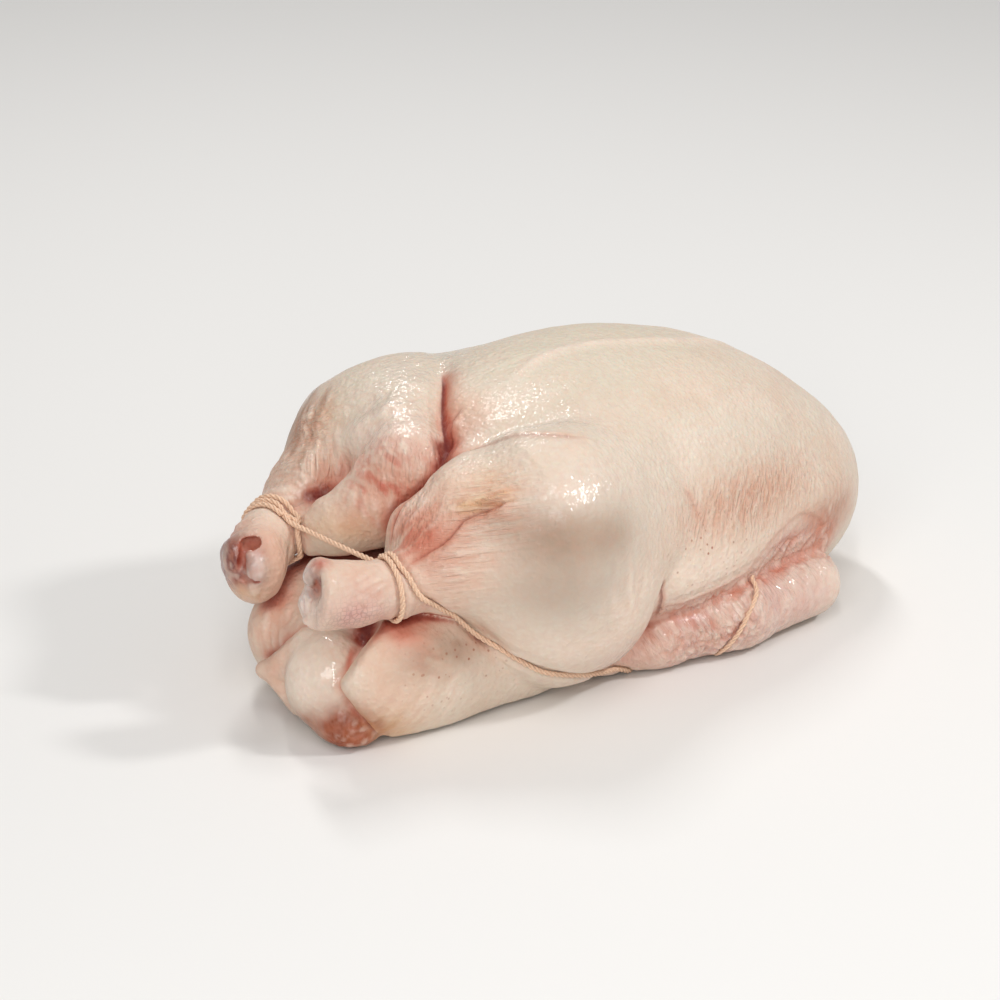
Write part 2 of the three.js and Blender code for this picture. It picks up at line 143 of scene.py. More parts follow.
# Lines on the skin that folds, ridges and stains follow.
LINES = {
    "valley": (
        (-77, -16, 96), (-70, -12, 101), (-64, -6, 104),
        (-57, 4, 108), (-50, 14, 112), (-39, 28, 114)),
    "valley_foot": ((-80, -19, 95), (-76, -17, 97), (-71, -13, 101), (-66, -8, 104), (-60, 0, 106)),
    "breast_lip": (
        (-54, -5, 117), (-60, -6, 114), (-63, -7, 113), (-66, -10, 110),
        (-69, -13, 108), (-72, -15, 105), (-74, -17, 103), (-75, -17, 101)),
    "pit": ((-68, -11, 107), (-72, -14, 104), (-74, -16, 102), (-77, -17, 99), (-81, -18, 96)),
    "slit": ((-98, 21, 88), (-103, 25, 84), (-108, 27, 81), (-112, 29, 79)),
    "tail_pit": ((-131, -28, 45), (-124, -23, 44), (-118, -19, 43)),
    "flap_top": (
        (-77, -17, 98), (-71, -22, 103), (-64, -30, 108),
        (-58, -42, 112), (-48, -56, 115), (-37, -62, 114)),
    "flap_edge": ((-84, -24, 99), (-94, -26, 98), (-102, -24, 92), (-110, -25, 86), (-114, -25, 77)),
    "web": (
        (-80, -64, 100), (-88, -58, 96), (-96, -52, 92),
        (-101, -52, 89), (-107, -51, 85), (-119, -44, 77)),
    "pocket": ((-97, -48, 95), (-92, -52, 97), (-86, -57, 99), (-78, -63, 103)),
    "far_web": (
        (-92, 12, 101), (-95, 16, 95), (-98, 20, 89),
        (-105, 24, 84), (-112, 28, 79), (-119, 31, 76)),
    "pleat_a": ((-91, 45, 96), (-99, 36, 90), (-106, 28, 83)),
    "pleat_b": ((-87, 43, 98), (-95, 34, 92), (-102, 27, 85)),
    "pleat_c": ((-84, 40, 100), (-91, 32, 94), (-97, 25, 88)),
    "streak_a": ((-70, 63, 110), (-84, 54, 101), (-97, 46, 93), (-108, 40, 86)),
    "streak_b": ((-75, 68, 103), (-88, 61, 95), (-104, 48, 90)),
    "streak_c": ((-66, 72, 104), (-80, 68, 96), (-96, 58, 88)),
    "hip_edge": (
        (-127, -36, 48), (-134, -35, 42), (-141, -35, 35),
        (-145, -37, 28), (-141, -41, 18), (-134, -44, 6)),
    "tail_side": ((-132, -27, 42), (-138, -30, 36), (-141, -34, 28), (-141, -38, 20)),
    "tail_back": ((-130, -8, 43), (-136, -2, 37), (-138, 8, 32), (-140, 14, 24), (-141, 14, 14)),
    "thigh_tuck": ((-92, -52, 41), (-83, -59, 36), (-77, -66, 33), (-68, -70, 26)),
    "torn": ((-12, -80, 52), (-8, -75, 39), (-3, -67, 25)),
    "flank_edge": ((-5, -72, 34), (12, -75, 35), (27, -76, 36), (39, -76, 38), (45, -76, 42)),
    "armpit": (
        (45, -76, 42), (53, -75, 47), (64, -72, 50), (77, -70, 52),
        (88, -69, 47), (94, -69, 40), (97, -67, 32)),
    "wing_top": (
        (-2, -67, 26), (14, -71, 29), (30, -74, 29), (47, -75, 31),
        (61, -72, 30), (76, -70, 31), (88, -69, 31)),
    "haunch_band": (
        (-96, -60, 92), (-87, -66, 92), (-78, -77, 91), (-70, -85, 88),
        (-58, -89, 86), (-46, -89, 84), (-34, -87, 82)),
    "crinkle": ((6, -72, 85), (10, -73, 77), (14, -75, 67)),
    "wing_root": ((-4, -66, 23), (-12, -63, 16), (-20, -60, 9)),
    "wing_fold": ((24, -73, 29), (33, -76, 29), (38, -80, 25), (37, -83, 17)),
    "keel": ((-34, -9, 123), (0, -5, 126), (56, -13, 119), (100, -3, 104)),
}
# The lines that both sides have.
PAIRED_LINES = (
    "thigh_tuck", "torn", "flank_edge", "armpit", "haunch_band", "crinkle",
    "wing_top", "wing_root", "wing_fold",
)
# Edges of skin that lie over what is behind them, the lip to the left of the line:
# line, lip height, gap depth, lip width, gap width and strength of the painted shadow in the gap.
FOLDS = (
    ("valley", 0.6, 1.2, 4, 2.4, 0.8),
    ("breast_lip", 0.8, 1.2, 3, 1.8, 0.4),
    ("flap_edge", 0.8, 1.5, 4, 2.0, 1.0),
    ("flap_top", 0.5, 0.7, 4, 1.3, 0.2),
    ("web", 1.2, 1.5, 4, 1.6, 0.35),
    ("pocket", 0.8, 0.8, 3, 1.6, 0.15),
    ("far_web", 1.2, 2.2, 4, 2.0, 0.3),
    ("hip_edge", 1.2, 1.2, 3, 1.6, 0.7),
    ("tail_back", 0.8, 1.2, 4, 1.6, 0.7),
    ("thigh_tuck", 1.2, 1.2, 3, 1.6, 0.6),
    ("torn", 0.8, 1.0, 2.5, 1.3, 0.5),
    ("flank_edge", 1.4, 2.6, 4, 1.6, 0.95),
    ("armpit", 0.6, 0.8, 5, 2.0, 0.05),
    ("crinkle", 0.6, 0.7, 3, 2.0, 0.1),
)
# Ridges: line, height and half width.
RIDGES = (
    ("keel", 1.0, 3.4), ("wing_fold", 1.5, 2.6),
    ("pleat_a", 1.2, 1.2), ("pleat_b", 1.2, 1.2), ("pleat_c", 1.2, 1.2),
)
# Colour along lines: stains, and painted shade in creases and fold gaps as marked below. Line, colour,
# strength, half width, and the side: 0 for both or -1 for the gap's.
STROKES = (
    ("haunch_band", "grey", 0.45, 9.0, 0),
    # Painted shade over red skin: the valley, valley_foot and pit rows darken the V recess between the thighs
    # and the breast.
    ("valley", "rose", 0.9, 8.0, -1), ("valley", "red", 0.8, 3.5, -1),
    ("valley_foot", "red", 0.8, 5.0, -1), ("valley_foot", "crease_shade", 0.6, 3.5, -1),
    ("pit", "red", 1.0, 6.0, 0), ("pit", "crease_shade", 2.0, 3.0, 0),
    # Painted shadow on the gap side of the near flap's edge.
    ("flap_edge", "rose", 0.5, 5.0, -1), ("flap_edge", "red", 0.5, 2.0, -1),
    ("flap_top", "rose", 0.25, 2.4, 0),
    ("web", "rose", 0.7, 4.0, 0), ("web", "red", 0.6, 1.6, 0), ("pocket", "fat", 0.8, 3.5, 0),
    # The slit rows are painted shade in the far drumstick's deep crease, over red skin.
    ("far_web", "rose", 0.3, 4.0, 0), ("slit", "red", 1.2, 3.6, 0), ("slit", "crease_shade", 1.4, 2.4, 0),
    ("streak_a", "grey", 0.7, 2.2, 0), ("streak_b", "grey", 0.8, 2.0, 0), ("streak_c", "grey", 0.8, 3.0, 0),
    ("hip_edge", "fat", 0.4, 2.6, 0), ("tail_side", "red", 0.7, 1.3, 0), ("tail_back", "red", 0.7, 2.6, 0),
    # Painted shade in the pit between the tail and the hip.
    ("tail_pit", "red", 1.2, 6.0, 0), ("tail_pit", "crease_shade", 1.2, 4.0, 0),
    # The flank_edge red is painted shade in the gap under the flank's edge, over red skin.
    ("flank_edge", "red", 0.4, 2.2, 0), ("wing_top", "red", 0.5, 3.0, 0), ("wing_root", "red", 0.2, 4.0, 0),
    ("armpit", "rose", 0.3, 2.4, 0), ("crinkle", "rose", 0.3, 2.4, 0), ("torn", "rose", 0.5, 1.8, 0),
    # The thigh_tuck brown is painted shade on the gap side of the fold under the thigh.
    ("thigh_tuck", "brown", 0.5, 1.6, -1), ("keel", "pale", 0.6, 4.0, 0),
)
# Wrinkles: height, place, reach, direction, width, length in widths, and whether both sides have them.
WRINKLES = (
    (0.6, (-106, -36, 88), (12, 12, 12), (0.71, -0.27, 0.65), 2.8, 5, False),
    (0.6, (-84, -58, 99), (16, 14, 10), (0.75, -0.66, 0.1), 2.8, 9, True),
    (0.35, (-100, -60, 80), (16, 12, 14), (0.85, -0.5, 0.1), 2.8, 9, True),
    (0.55, (-92, 2, 88), (16, 16, 14), (0.3, 0.5, 0.9), 4.0, 2.5, False),
    (0.3, (-70, 18, 108), (20, 22, 12), (0.25, 0.28, 0.92), 2.8, 5, False),
    (0.45, (-111, 38, 82), (9, 12, 12), (0.3, -0.9, 0.2), 2.6, 6, False),
    (0.6, (-98, 33, 90), (8, 9, 9), (0.47, 0.66, 0.58), 3.0, 8, False),
    (0.9, (18, -76, 16), (34, 14, 14), (0.24, -0.63, -0.74), 2.8, 5, True),
    (0.9, (24, -73, 29), (30, 8, 5), (0.9, -0.3, 0.3), 3.2, 1.5, True),
    (0.3, (70, -82, 18), (22, 12, 14), (0.24, -0.63, -0.74), 3.6, 4, True),
    (1.2, (68, -71, 37), (22, 9, 7), (0.8, -0.1, 0.5), 3.0, 4, True),
    (1.0, (93, -68, 34), (9, 8, 8), (0.3, -0.2, 0.9), 3.4, 3, True),
    (0.4, (44, -73, 69), (44, 10, 12), (0.45, 0.2, 0.87), 2.6, 4, True),
    (0.3, (104, -65, 50), (18, 12, 12), (0.3, 0.3, 0.9), 3.0, 2, True),
    (0.2, (-118, -50, 18), (24, 12, 12), (0.5, -0.3, 0.8), 2.8, 6, True),
    (0.25, (-32, -89, 54), (15, 10, 16), (0.0, 0.1, 1.0), 3.0, 8, True),
    (0.4, (-138, -42, 70), (10, 12, 12), (0.9, 0.2, 0.0), 2.6, 4, True),
    (0.5, (-132, 22, 32), (16, 16, 16), (0.3, 0.3, 0.9), 4.0, 3, False),
    (0.5, (-144, -40, 9), (12, 10, 9), (0.9, -0.3, 0.3), 2.8, 1.5, False),
    (0.2, (-62, -14, 112), (8, 10, 8), (0.0, 0.3, 0.9), 3.0, 4, False),
    (0.6, (-156, -27, 72), (6, 10, 14), (0.0, 0.2, 1.0), 3.0, 2, False),
    (0.6, (-150, 24, 62), (8, 12, 14), (0.0, 0.3, 1.0), 3.4, 2, False),
)
# Swellings and hollows: height, place, reach, and whether both sides have them.
SWELLS = (
    (2.2, (98, -68, 54), (20, 10, 8), True),
    (-2.2, (70, -71, 37), (20, 10, 6), True),
    (1.2, (-84, -56, 99), (10, 8, 5), True),
    (-2.0, (-59, -4, 112), (7, 9, 7), False),
    (-3.5, (-70, -14, 103), (5, 5, 6), False),
    (3.5, (-74, -27, 103), (10, 9, 8), False),
    (2.5, (-72, 18, 110), (9, 9, 9), False),
    (3.0, (-83, 26, 101), (9, 8, 9), False),
    (-2.5, (-105, 26, 83), (6, 5, 4), False),
)
# Dabs of colour: colour, strength, place, reach, and whether both sides have them.
DABS = (
    # Painted shade: the two top dabs darken the upper surfaces of the breast and of the far thigh, with a
    # cooler tone.
    ("top", 0.8, (20, 0, 124), (90, 50, 18), False),
    ("top", 0.6, (-60, 40, 108), (26, 26, 14), False),
    ("blue", 1.0, (-64, -85, 70), (42, 24, 30), True),
    ("grey", 0.3, (-70, -85, 84), (30, 20, 16), True),
    ("grey", 0.6, (-76, -82, 87), (20, 14, 11), True),
    ("grey", 0.35, (-78, -84, 66), (22, 20, 12), True),
    ("pale", 0.5, (-62, -78, 104), (22, 14, 7), True),
    ("pale", 0.7, (-58, -80, 36), (34, 14, 12), True),
    ("pale", 0.5, (-34, -88, 50), (12, 10, 14), True),
    ("rose", 0.35, (-113, -54, 66), (11, 12, 12), True),
    ("pink", 0.35, (-102, -60, 76), (18, 14, 12), True),
    ("fat", 0.3, (-84, -50, 102), (16, 9, 7), True),
    ("pink", 0.5, (-98, -36, 94), (16, 14, 14), False),
    ("rose", 0.9, (-110, -44, 85), (12, 12, 10), False),
    ("red", 0.45, (-109, -44, 86), (8, 8, 7), False),
    ("brown", 0.35, (-62, -14, 112), (8, 10, 7), False),
    ("rose", 0.3, (-102, 30, 86), (8, 8, 7), False),
    ("pink", 0.6, (-56, -10, 116), (12, 14, 10), False),
    ("rose", 0.85, (-91, -2, 91), (15, 14, 13), False),
    ("rose", 0.3, (-80, 0, 99), (11, 11, 8), False),
    ("rose", 0.5, (-102, 4, 78), (14, 16, 10), False),
    ("fat", 0.4, (-108, 8, 74), (14, 14, 8), False),
    ("beige", 0.4, (-90, 48, 98), (16, 14, 16), False),
    ("grey", 0.35, (-108, 44, 86), (12, 10, 12), False),
    ("pink", 0.35, (-114, 34, 80), (10, 12, 12), False),
    ("beige", 0.8, (-140, -38, 70), (20, 18, 18), True),
    ("blush", 0.8, (-144, -43, 64), (18, 14, 12), True),
    ("bone", 0.95, (-157, -25, 72), (4, 5, 13), False),
    ("plum", 1.1, (-154, -30, 74), (4, 4, 6), False),
    ("red", 0.8, (-152, -29, 83), (5, 5, 3), False),
    ("brown", 0.6, (-146, 24, 60), (14, 14, 16), False),
    ("plum", 1.8, (-151, 28, 64), (7, 8, 10), False),
    # Painted shade in the grooves and between the knobs of the far hock.
    ("crease_shade", 0.8, (-149, 24, 65), (4, 4, 7), False),
    ("crease_shade", 0.7, (-150, 23, 57.5), (6, 8, 2), False),
    ("bone", 1.0, (-146, 18, 63), (3, 4, 7), False),
    ("bone", 0.25, (-153, 33, 66), (3, 3, 9), False),
    ("red", 1.0, (-142, 24, 70), (6, 5, 4), False),
    ("fat", 0.6, (-150, 25, 51), (8, 8, 4), False),
    ("pink", 0.8, (-136, 18, 64), (5, 7, 14), False),
    ("beige", 0.6, (-126, -52, 26), (14, 10, 14), True),
    ("pink", 0.35, (-136, -46, 30), (10, 10, 14), True),
    # Painted shadow on the hip under the thigh.
    ("grey", 0.7, (-110, -52, 38), (20, 12, 10), True),
    ("rose", 0.8, (-118, -44, 47), (12, 9, 7), True),
    ("red", 0.6, (-121, -42, 49), (7, 8, 5), True),
    ("fat", 0.8, (-134, -45, 9), (14, 10, 10), True),
    ("pink", 0.6, (-134, 20, 32), (18, 20, 18), False),
    ("pink", 0.8, (-144, 6, 22), (8, 12, 16), False),
    ("brown", 0.6, (-139, 12, 26), (8, 7, 12), False),
    ("pale", 0.9, (-150, -18, 30), (14, 12, 15), False),
    ("brown", 1.6, (-146, -38, 9), (15, 12, 11), False),
    ("brown", 0.7, (-153, -24, 9), (10, 14, 7), False),
    ("blush", 0.9, (14, -74, 16), (44, 18, 18), True),
    ("pink", 0.4, (-6, -66, 16), (18, 14, 12), True),
    ("blush", 0.6, (66, -82, 18), (30, 14, 14), True),
    ("pale", 0.9, (96, -76, 22), (11, 16, 12), True),
    ("blush", 1.0, (72, -71, 38), (24, 12, 8), True),
    ("blue", 0.4, (64, -72, 35), (16, 9, 6), True),
    ("red", 0.5, (95, -67, 34), (8, 8, 8), True),
    ("beige", 0.7, (46, -73, 68), (44, 12, 11), True),
    ("brown", 0.65, (98, -67, 42), (22, 12, 12), True),
    # Painted light: lifts the lower flank, which lies in shade.
    ("pale", 0.9, (14, -78, 44), (28, 12, 13), True),
    # Painted light on the left part of the near flap.
    ("pale", 0.5, (-98, -30, 95), (9, 8, 7), False),
    # Painted highlight where the far thigh glints.
    ("pale", 0.8, (-86, 5, 109), (11, 13, 8), False),
    ("beige", 0.7, (-134, -43, 38), (8, 8, 9), True),
)
# Streaky colour: mostly stains, with some rows of painted shade and painted light, marked below. Colour,
# strength, place, reach, direction, width, length in widths, and both sides or not.
MOTTLES = (
    ("red", 1.0, (-92, -2, 92), (15, 15, 14), (-0.35, 0.67, 0.65), 2.3, 2.5, False),
    ("red", 0.5, (-80, 6, 101), (10, 12, 8), (0.3, 0.4, 0.87), 4.0, 3.0, False),
    ("red", 0.8, (-110, -38, 84), (11, 12, 12), (0.71, -0.27, 0.65), 2.4, 5.0, False),
    ("rose", 0.4, (-100, -40, 94), (12, 12, 10), (0.71, -0.27, 0.65), 3.0, 5.0, False),
    ("red", 0.35, (10, -73, 22), (34, 10, 9), (0.24, -0.63, -0.74), 3.0, 4.0, True),
    ("pale", 0.8, (22, -78, 15), (38, 14, 13), (0.24, -0.63, -0.74), 2.6, 5.0, True),
    ("beige", 0.8, (42, -73, 69), (42, 12, 12), (0.45, 0.2, 0.87), 3.0, 4.0, True),
    ("rose", 0.12, (34, -73, 70), (34, 12, 9), (0.45, 0.2, 0.87), 2.6, 4.0, True),
    ("pale", 0.7, (-36, -89, 54), (15, 10, 18), (0.0, 0.1, 1.0), 3.4, 8.0, True),
    # Painted shadow: brown on the hip under the thigh.
    ("brown", 0.35, (-112, -53, 38), (18, 10, 10), (0.9, -0.3, -0.3), 5.0, 2.0, True),
    ("pale", 0.5, (-110, -50, 18), (22, 10, 12), (0.5, -0.3, 0.8), 3.0, 5.0, True),
    ("plum", 0.4, (-146, -38, 10), (12, 10, 9), (1.0, 0.0, 0.0), 3.0, 1.0, False),
    # Painted highlight: pale streaks where the far thigh glints.
    ("pale", 0.6, (-72, 22, 108), (20, 22, 12), (0.25, 0.28, 0.92), 3.0, 4.0, False),
    # Painted shade in the far hock's grooves.
    ("crease_shade", 0.7, (-151, 27, 62), (5, 7, 9), (0.2, 0.4, 0.9), 3.0, 2.0, False),
    ("red", 0.35, (-112, -54, 68), (14, 12, 12), (0.85, -0.5, 0.1), 3.6, 5.0, True),
)
# Fine wrinkles: name, direction, length in widths, how many in a metre, how strong, and places and reaches.
GRAINS = (
    ("hair", (0.45, 0.2, 0.87), 5.0, 800.0, 1.0, (((44, -73, 69), (48, 14, 14)),)),
    ("crimp", (0.24, -0.63, -0.74), 5.0, 700.0, 1.0, (
        ((20, -76, 18), (44, 16, 16)), ((70, -71, 37), (22, 9, 8)))),
    ("tuck", (0.75, -0.66, 0.1), 9.0, 560.0, 1.3, (
        ((-86, -57, 97), (18, 16, 12)), ((-104, -54, 78), (14, 12, 14)))),
    ("drape", (0.26, 0.29, 0.92), 5.0, 560.0, 0.8, (
        ((-84, -6, 98), (18, 22, 16)), ((-106, -36, 88), (14, 14, 14)))),
    ("pleat", (0.47, 0.66, 0.58), 10.0, 330.0, 1.5, (((-98, 33, 89), (9, 10, 9)),)),
)
ONE_SIDED_GRAINS = ("drape", "pleat")
# Wet places, where the skin glints: place, reach, and whether both sides have them.
WET = (
    ((-42, -34, 115), (28, 16, 9), True),
    ((-58, -78, 104), (16, 12, 8), True),
    ((-76, 12, 106), (20, 22, 13), False),
    ((-148, -26, 34), (9, 10, 16), False),
    ((-112, 38, 84), (8, 8, 12), False),
    ((-150, 26, 62), (8, 12, 16), False),
    ((-156, -28, 74), (6, 8, 12), False),
    ((20, -78, 16), (60, 14, 14), True),
)
# Places with a finish of their own, and how far they reach.
BUMPY = ((60, -72, 68), (60, 16, 18))
SLEEK = ((-60, -84, 66), (40, 20, 34))
PORED = (((14, -78, 54), (26, 12, 14)), ((-100, -52, 30), (30, 12, 14)))
SCALY = ((-146, -43, 62), (14, 12, 8))
CALM = ((-148, -26, 32), (14, 14, 20))
DRY_CREASES = ("valley", "valley_foot")
DRY_WIDTH = 8
EVEN_COLOURS = ("grey", "blue")  # colours that lie deep under the skin, with soft edges

# Lamps: place, width, and height where the lamp is tall and not round, in metres.
LAMPS = {
    "key": ((0.65, -0.85, 1.0), 0.18, None),
    "fill": ((-1.1, -0.7, 0.8), 0.6, None),
    "top": ((0.28, 0.62, 1.15), 0.12, 0.5),
    "strip": ((-0.72, -0.82, 0.95), 0.1, 2.0),
}
LAMP_AIM = (0, 0, 0.05)
# The camera: place in metres, angles in degrees, lens and sensor width.
EYE = (-1.0520, -1.1485, 0.7135)
EYE_AZIMUTH = -41.76
EYE_ELEVATION = 22.8
LENS = 144.0
SENSOR = 36.0
FLOOR_HALF = 6000.0  # half the floor's width

HOLLOW_REACH = (3, 7, 14)  # how far out from the skin other skin is looked for
LINE_REACH = 26  # how far from a line on the skin its effect is worked out
EDGE_REACH = 3  # how far from an edge of skin its painted shadow line can be drawn
FAR_OFF = 1e6
SLIGHT = 0.02  # shares below this are left out
GRID_LOW = (-166, -100, -5)
GRID_HIGH = (162, 100, 139)
BLOCK = 4  # fine cells along one side of a coarse block


def join(a, b, blend):
    """Smooth minimum of two distances: forms join with a fillet about as wide as blend."""
    h = np.maximum(blend - np.abs(a - b), 0) / blend
    return np.minimum(a, b) - h * h * blend / 4


def carve(a, b, blend):
    """Distance to the part of form a where b is above zero."""
    return -join(-a, b, blend)


def blob(x, y, z, centre, radii, yaw=0.0, pitch=0.0):
    """Distance to an ellipsoid, turned about the vertical by yaw and then tipped by pitch, in degrees."""
    cos_yaw, sin_yaw = math.cos(math.radians(yaw)), math.sin(math.radians(yaw))
    cos_pitch, sin_pitch = math.cos(math.radians(pitch)), math.sin(math.radians(pitch))
    dx, dy, dz = x - centre[0], y - centre[1], z - centre[2]
    along = cos_yaw * dx + sin_yaw * dy
    u = (cos_pitch * along + sin_pitch * dz) / radii[0]
    v = (cos_yaw * dy - sin_yaw * dx) / radii[1]
    w = (cos_pitch * dz - sin_pitch * along) / radii[2]
    far = np.sqrt(u * u + v * v + w * w)
    rate = np.sqrt((u / radii[0]) ** 2 + (v / radii[1]) ** 2 + (w / radii[2]) ** 2)
    return far * (far - 1) / np.maximum(rate, 1e-9)


def limb(x, y, z, stations, blend):
    """Distance to a limb: round sections of changing radius along its stations."""
    d = None
    for (ax, ay, az, ar), (bx, by, bz, br) in zip(stations, stations[1:]):
        ex, ey, ez = bx - ax, by - ay, bz - az
        t = ((x - ax) * ex + (y - ay) * ey + (z - az) * ez) / (ex * ex + ey * ey + ez * ez)
        t = np.clip(t, 0, 1)
        away = np.sqrt((x - ax - t * ex) ** 2 + (y - ay - t * ey) ** 2 + (z - az - t * ez) ** 2)
        near = away - ar - t * (br - ar)
        d = near if d is None else join(d, near, blend)
    return d


def ramp(value, low, high):
    """0 below low, 1 above high, and a smooth rise between."""
    t = np.clip((value - low) / (high - low), 0, 1)
    return t * t * (3 - 2 * t)


def near_hip(x, y, z):
    """The near hip: a round form cut off along the free edge of its skin."""
    d = blob(x, y, z, **NEAR_HIP)
    for (px, py, pz), (nx, ny, nz) in HIP_EDGE:
        d = carve(d, (px - x) * nx + (py - y) * ny + (pz - z) * nz, 3)
    return d


def near_hock(x, y, z):
    """The near hock: a limb cut off across the joint, with its knobs, the hollow bone and a tag of skin."""
    a, b = (np.array(s[:3], float) for s in NEAR_HOCK[-2:])
    axis = (b - a) / np.linalg.norm(b - a)
    end = axis @ b + HOCK_CUT
    d = carve(limb(x, y, z, NEAR_HOCK, 6), end - axis[0] * x - axis[1] * y - axis[2] * z, 3)
    for centre, radii in NEAR_KNOBS:
        d = join(d, blob(x, y, z, centre, radii), 3)
    d = join(d, limb(x, y, z, NEAR_TAG, 1), 3)
    return carve(d, blob(x, y, z, *NEAR_BONE), HOCK_EDGE)


def far_hock(x, y, z):
    """The far hock: a limb that ends in the bare joint, with its knobs, grooves and the torn hollow above."""
    d = join(limb(x, y, z, FAR_HOCK, 6), blob(x, y, z, **FAR_JOINT), 4)
    for centre, radii, fillet in FAR_KNOBS:
        d = join(d, blob(x, y, z, centre, radii), fillet)
    d = carve(d, blob(x, y, z, *FAR_HOLLOW), HOCK_EDGE)
    for groove in FAR_GROOVES:
        d = carve(d, limb(x, y, z, groove, 1), HOCK_EDGE)
    return d


def far_flap_fillet(z):
    """The far flap runs into the leg softly above and with a sharp crease below."""
    return 5 + 13 * ramp(z, 84, 100)


def leg_fillet(x, z):
    """A leg lies apart from the body below and behind, and runs into the breast above and in front."""
    return 2 + 16 * ramp(x, -48, 2) * ramp(z, 40, 74)


def forms(x, y, z):
    """Distance to the bird without its creases."""
    d = join(blob(x, y, z, **BREAST), blob(x, -y, z, **BREAST), FILLET["breast"])
    for (nx, ny), reach, rounding in BREAST_ENDS:
        d = carve(d, reach - nx * x - ny * y, rounding)
    d = join(d, blob(x, y, z, **PELVIS), FILLET["pelvis"])
    d = join(d, blob(x, y, z, **NECK_FOLD), FILLET["neck"])
    for side in (-1, 1):
        out = side * y
        d = join(d, blob(x, out, z, **CROP), FILLET["crop"])
        d = join(d, blob(x, out, z, **RUMP), FILLET["rump"])
        hip = near_hip(x, out, z) if side < 0 else blob(x, out, z, **FAR_HIP)
        d = join(d, hip, FILLET["hip"])
        d = join(d, blob(x, out, z, **FLANK), FILLET["flank"])
        d = join(d, blob(x, out, z, **SHOULDER), FILLET["shoulder"])
        leg = join(blob(x, out, z, **HAUNCH), limb(x, out, z, DRUMSTICK, 10), FILLET["haunch"])
        flap, fillet = (NEAR_FLAP, FILLET["near_flap"]) if side < 0 else (FAR_FLAP, far_flap_fillet(z))
        leg = join(leg, limb(x, out, z, flap, 8), fillet)
        hock = near_hock(x, out, z) if side < 0 else far_hock(x, out, z)
        leg = join(leg, hock, FILLET["hock"])
        d = join(d, leg, leg_fillet(x, z))
        d = join(d, limb(x, out, z, WING, 6), FILLET["wing"])
    tail = join(blob(x, y, z, **TAIL), blob(x, y, z, **TAIL_TIP), FILLET["tail_tip"])
    for start in TAIL_FOLD:
        tail = join(tail, limb(x, y, z, (start, TAIL_POINT), 3), FILLET["tail_fold"])
    return join(d, tail, FILLET["tail"])


def slope(field, p, step=0.05):
    """Slope of a field at each of a list of points."""
    g = np.empty_like(p)
    for axis in range(3):
        move = np.zeros(3)
        move[axis] = step
        g[:, axis] = (field(*(p + move).T) - field(*(p - move).T)) / (2 * step)
    return g


def settle(p, field, level=0.0, rounds=8, reach=2.0):
    """Moves points along the slope of a field until the field has the wanted level there."""
    p = np.array(p, float)
    for _ in range(rounds):
        g = slope(field, p)
        steep = np.maximum((g * g).sum(1), 0.2)
        p += g * np.clip((level - field(*p.T)) / steep, -reach, reach)[:, None]
    return p


class Crease:
    """A crease in the skin: full depth on its line, fading out over its width."""

    def __init__(self, side, width, stations):
        guide = np.array(stations, float) * (1, side, 1, 1)
        self.line = settle(guide[:, :3], forms)
        self.depth = guide[:, 3]
        self.width = width

    def __call__(self, x, y, z):
        deepest = np.zeros_like(x)
        for i in range(len(self.line) - 1):
            (ax, ay, az), (ex, ey, ez) = self.line[i], self.line[i + 1] - self.line[i]
            t = ((x - ax) * ex + (y - ay) * ey + (z - az) * ez) / (ex * ex + ey * ey + ez * ez)
            t = np.clip(t, 0, 1)
            away = np.sqrt(0.16 + (x - ax - t * ex) ** 2 + (y - ay - t * ey) ** 2 + (z - az - t * ez) ** 2)
            depth = self.depth[i] + t * (self.depth[i + 1] - self.depth[i])
            deepest = np.maximum(deepest, depth * np.exp(-away / self.width))
        return deepest


def body_field():
    """The distance field of the whole bird, creases and flat underside included."""
    creases = [Crease(side, width, path) for sides, width, path in CREASES for side in sides]

    def field(x, y, z):
        d = forms(x, y, z)
        d = d + np.max([crease(x, y, z) for crease in creases], axis=0)
        return carve(d, z, FLOOR_ROUND)

    return field


def skin_mesh(field, cell):
    """Points and four-sided faces of a field's surface. The grid is only filled in near the skin."""
    low = np.array(GRID_LOW, float)
    block = BLOCK * cell
    count = np.ceil((np.array(GRID_HIGH) - low) / block).astype(int)
    lines = [low[i] + block * (np.arange(count[i]) + 0.5) for i in range(3)]
    coarse = field(*np.meshgrid(*lines, indexing="ij"))
    value = coarse
    for axis in range(3):
        value = np.repeat(value, BLOCK, axis)
    near = np.abs(value) < 1.5 * block
    at = np.argwhere(near)
    value[near] = field(*(low + cell * (at + 0.5)).T)
    grid = openvdb.FloatGrid(background=float(3 * cell))
    grid.copyFromArray(np.clip(value, -3 * cell, 3 * cell).astype(np.float32))
    points, _, quads = grid.convertToPolygons(0.0, 0.0)
    return low + cell * (np.array(points, float) + 0.5), np.array(quads, np.int64)


def lattice(i, j, k, seed):
    """A repeatable number from -1 to 1 for each whole-number place."""
    n = i.astype(np.uint32) * np.uint32(374761393) + j.astype(np.uint32) * np.uint32(668265263)
    n = n + k.astype(np.uint32) * np.uint32(2246822519) + np.uint32(seed * 7919 + 13)
    n = (n ^ (n >> np.uint32(13))) * np.uint32(1274126177)
    n = n ^ (n >> np.uint32(16))
    return (n & np.uint32(0xFFFF)).astype(float) / 32767.5 - 1


def noise(p, cell, seed):
    """Smooth noise from -1 to 1 with bumps about one cell wide."""
    q = p / cell
    base = np.floor(q).astype(np.int64)
    f = q - base
    f = f * f * (3 - 2 * f)
    total = np.zeros(len(p))
    for a in (0, 1):
        for b in (0, 1):
            for c in (0, 1):
                share = np.abs(1 - a - f[:, 0]) * np.abs(1 - b - f[:, 1]) * np.abs(1 - c - f[:, 2])
                total += share * lattice(base[:, 0] + a, base[:, 1] + b, base[:, 2] + c, seed)
    return total


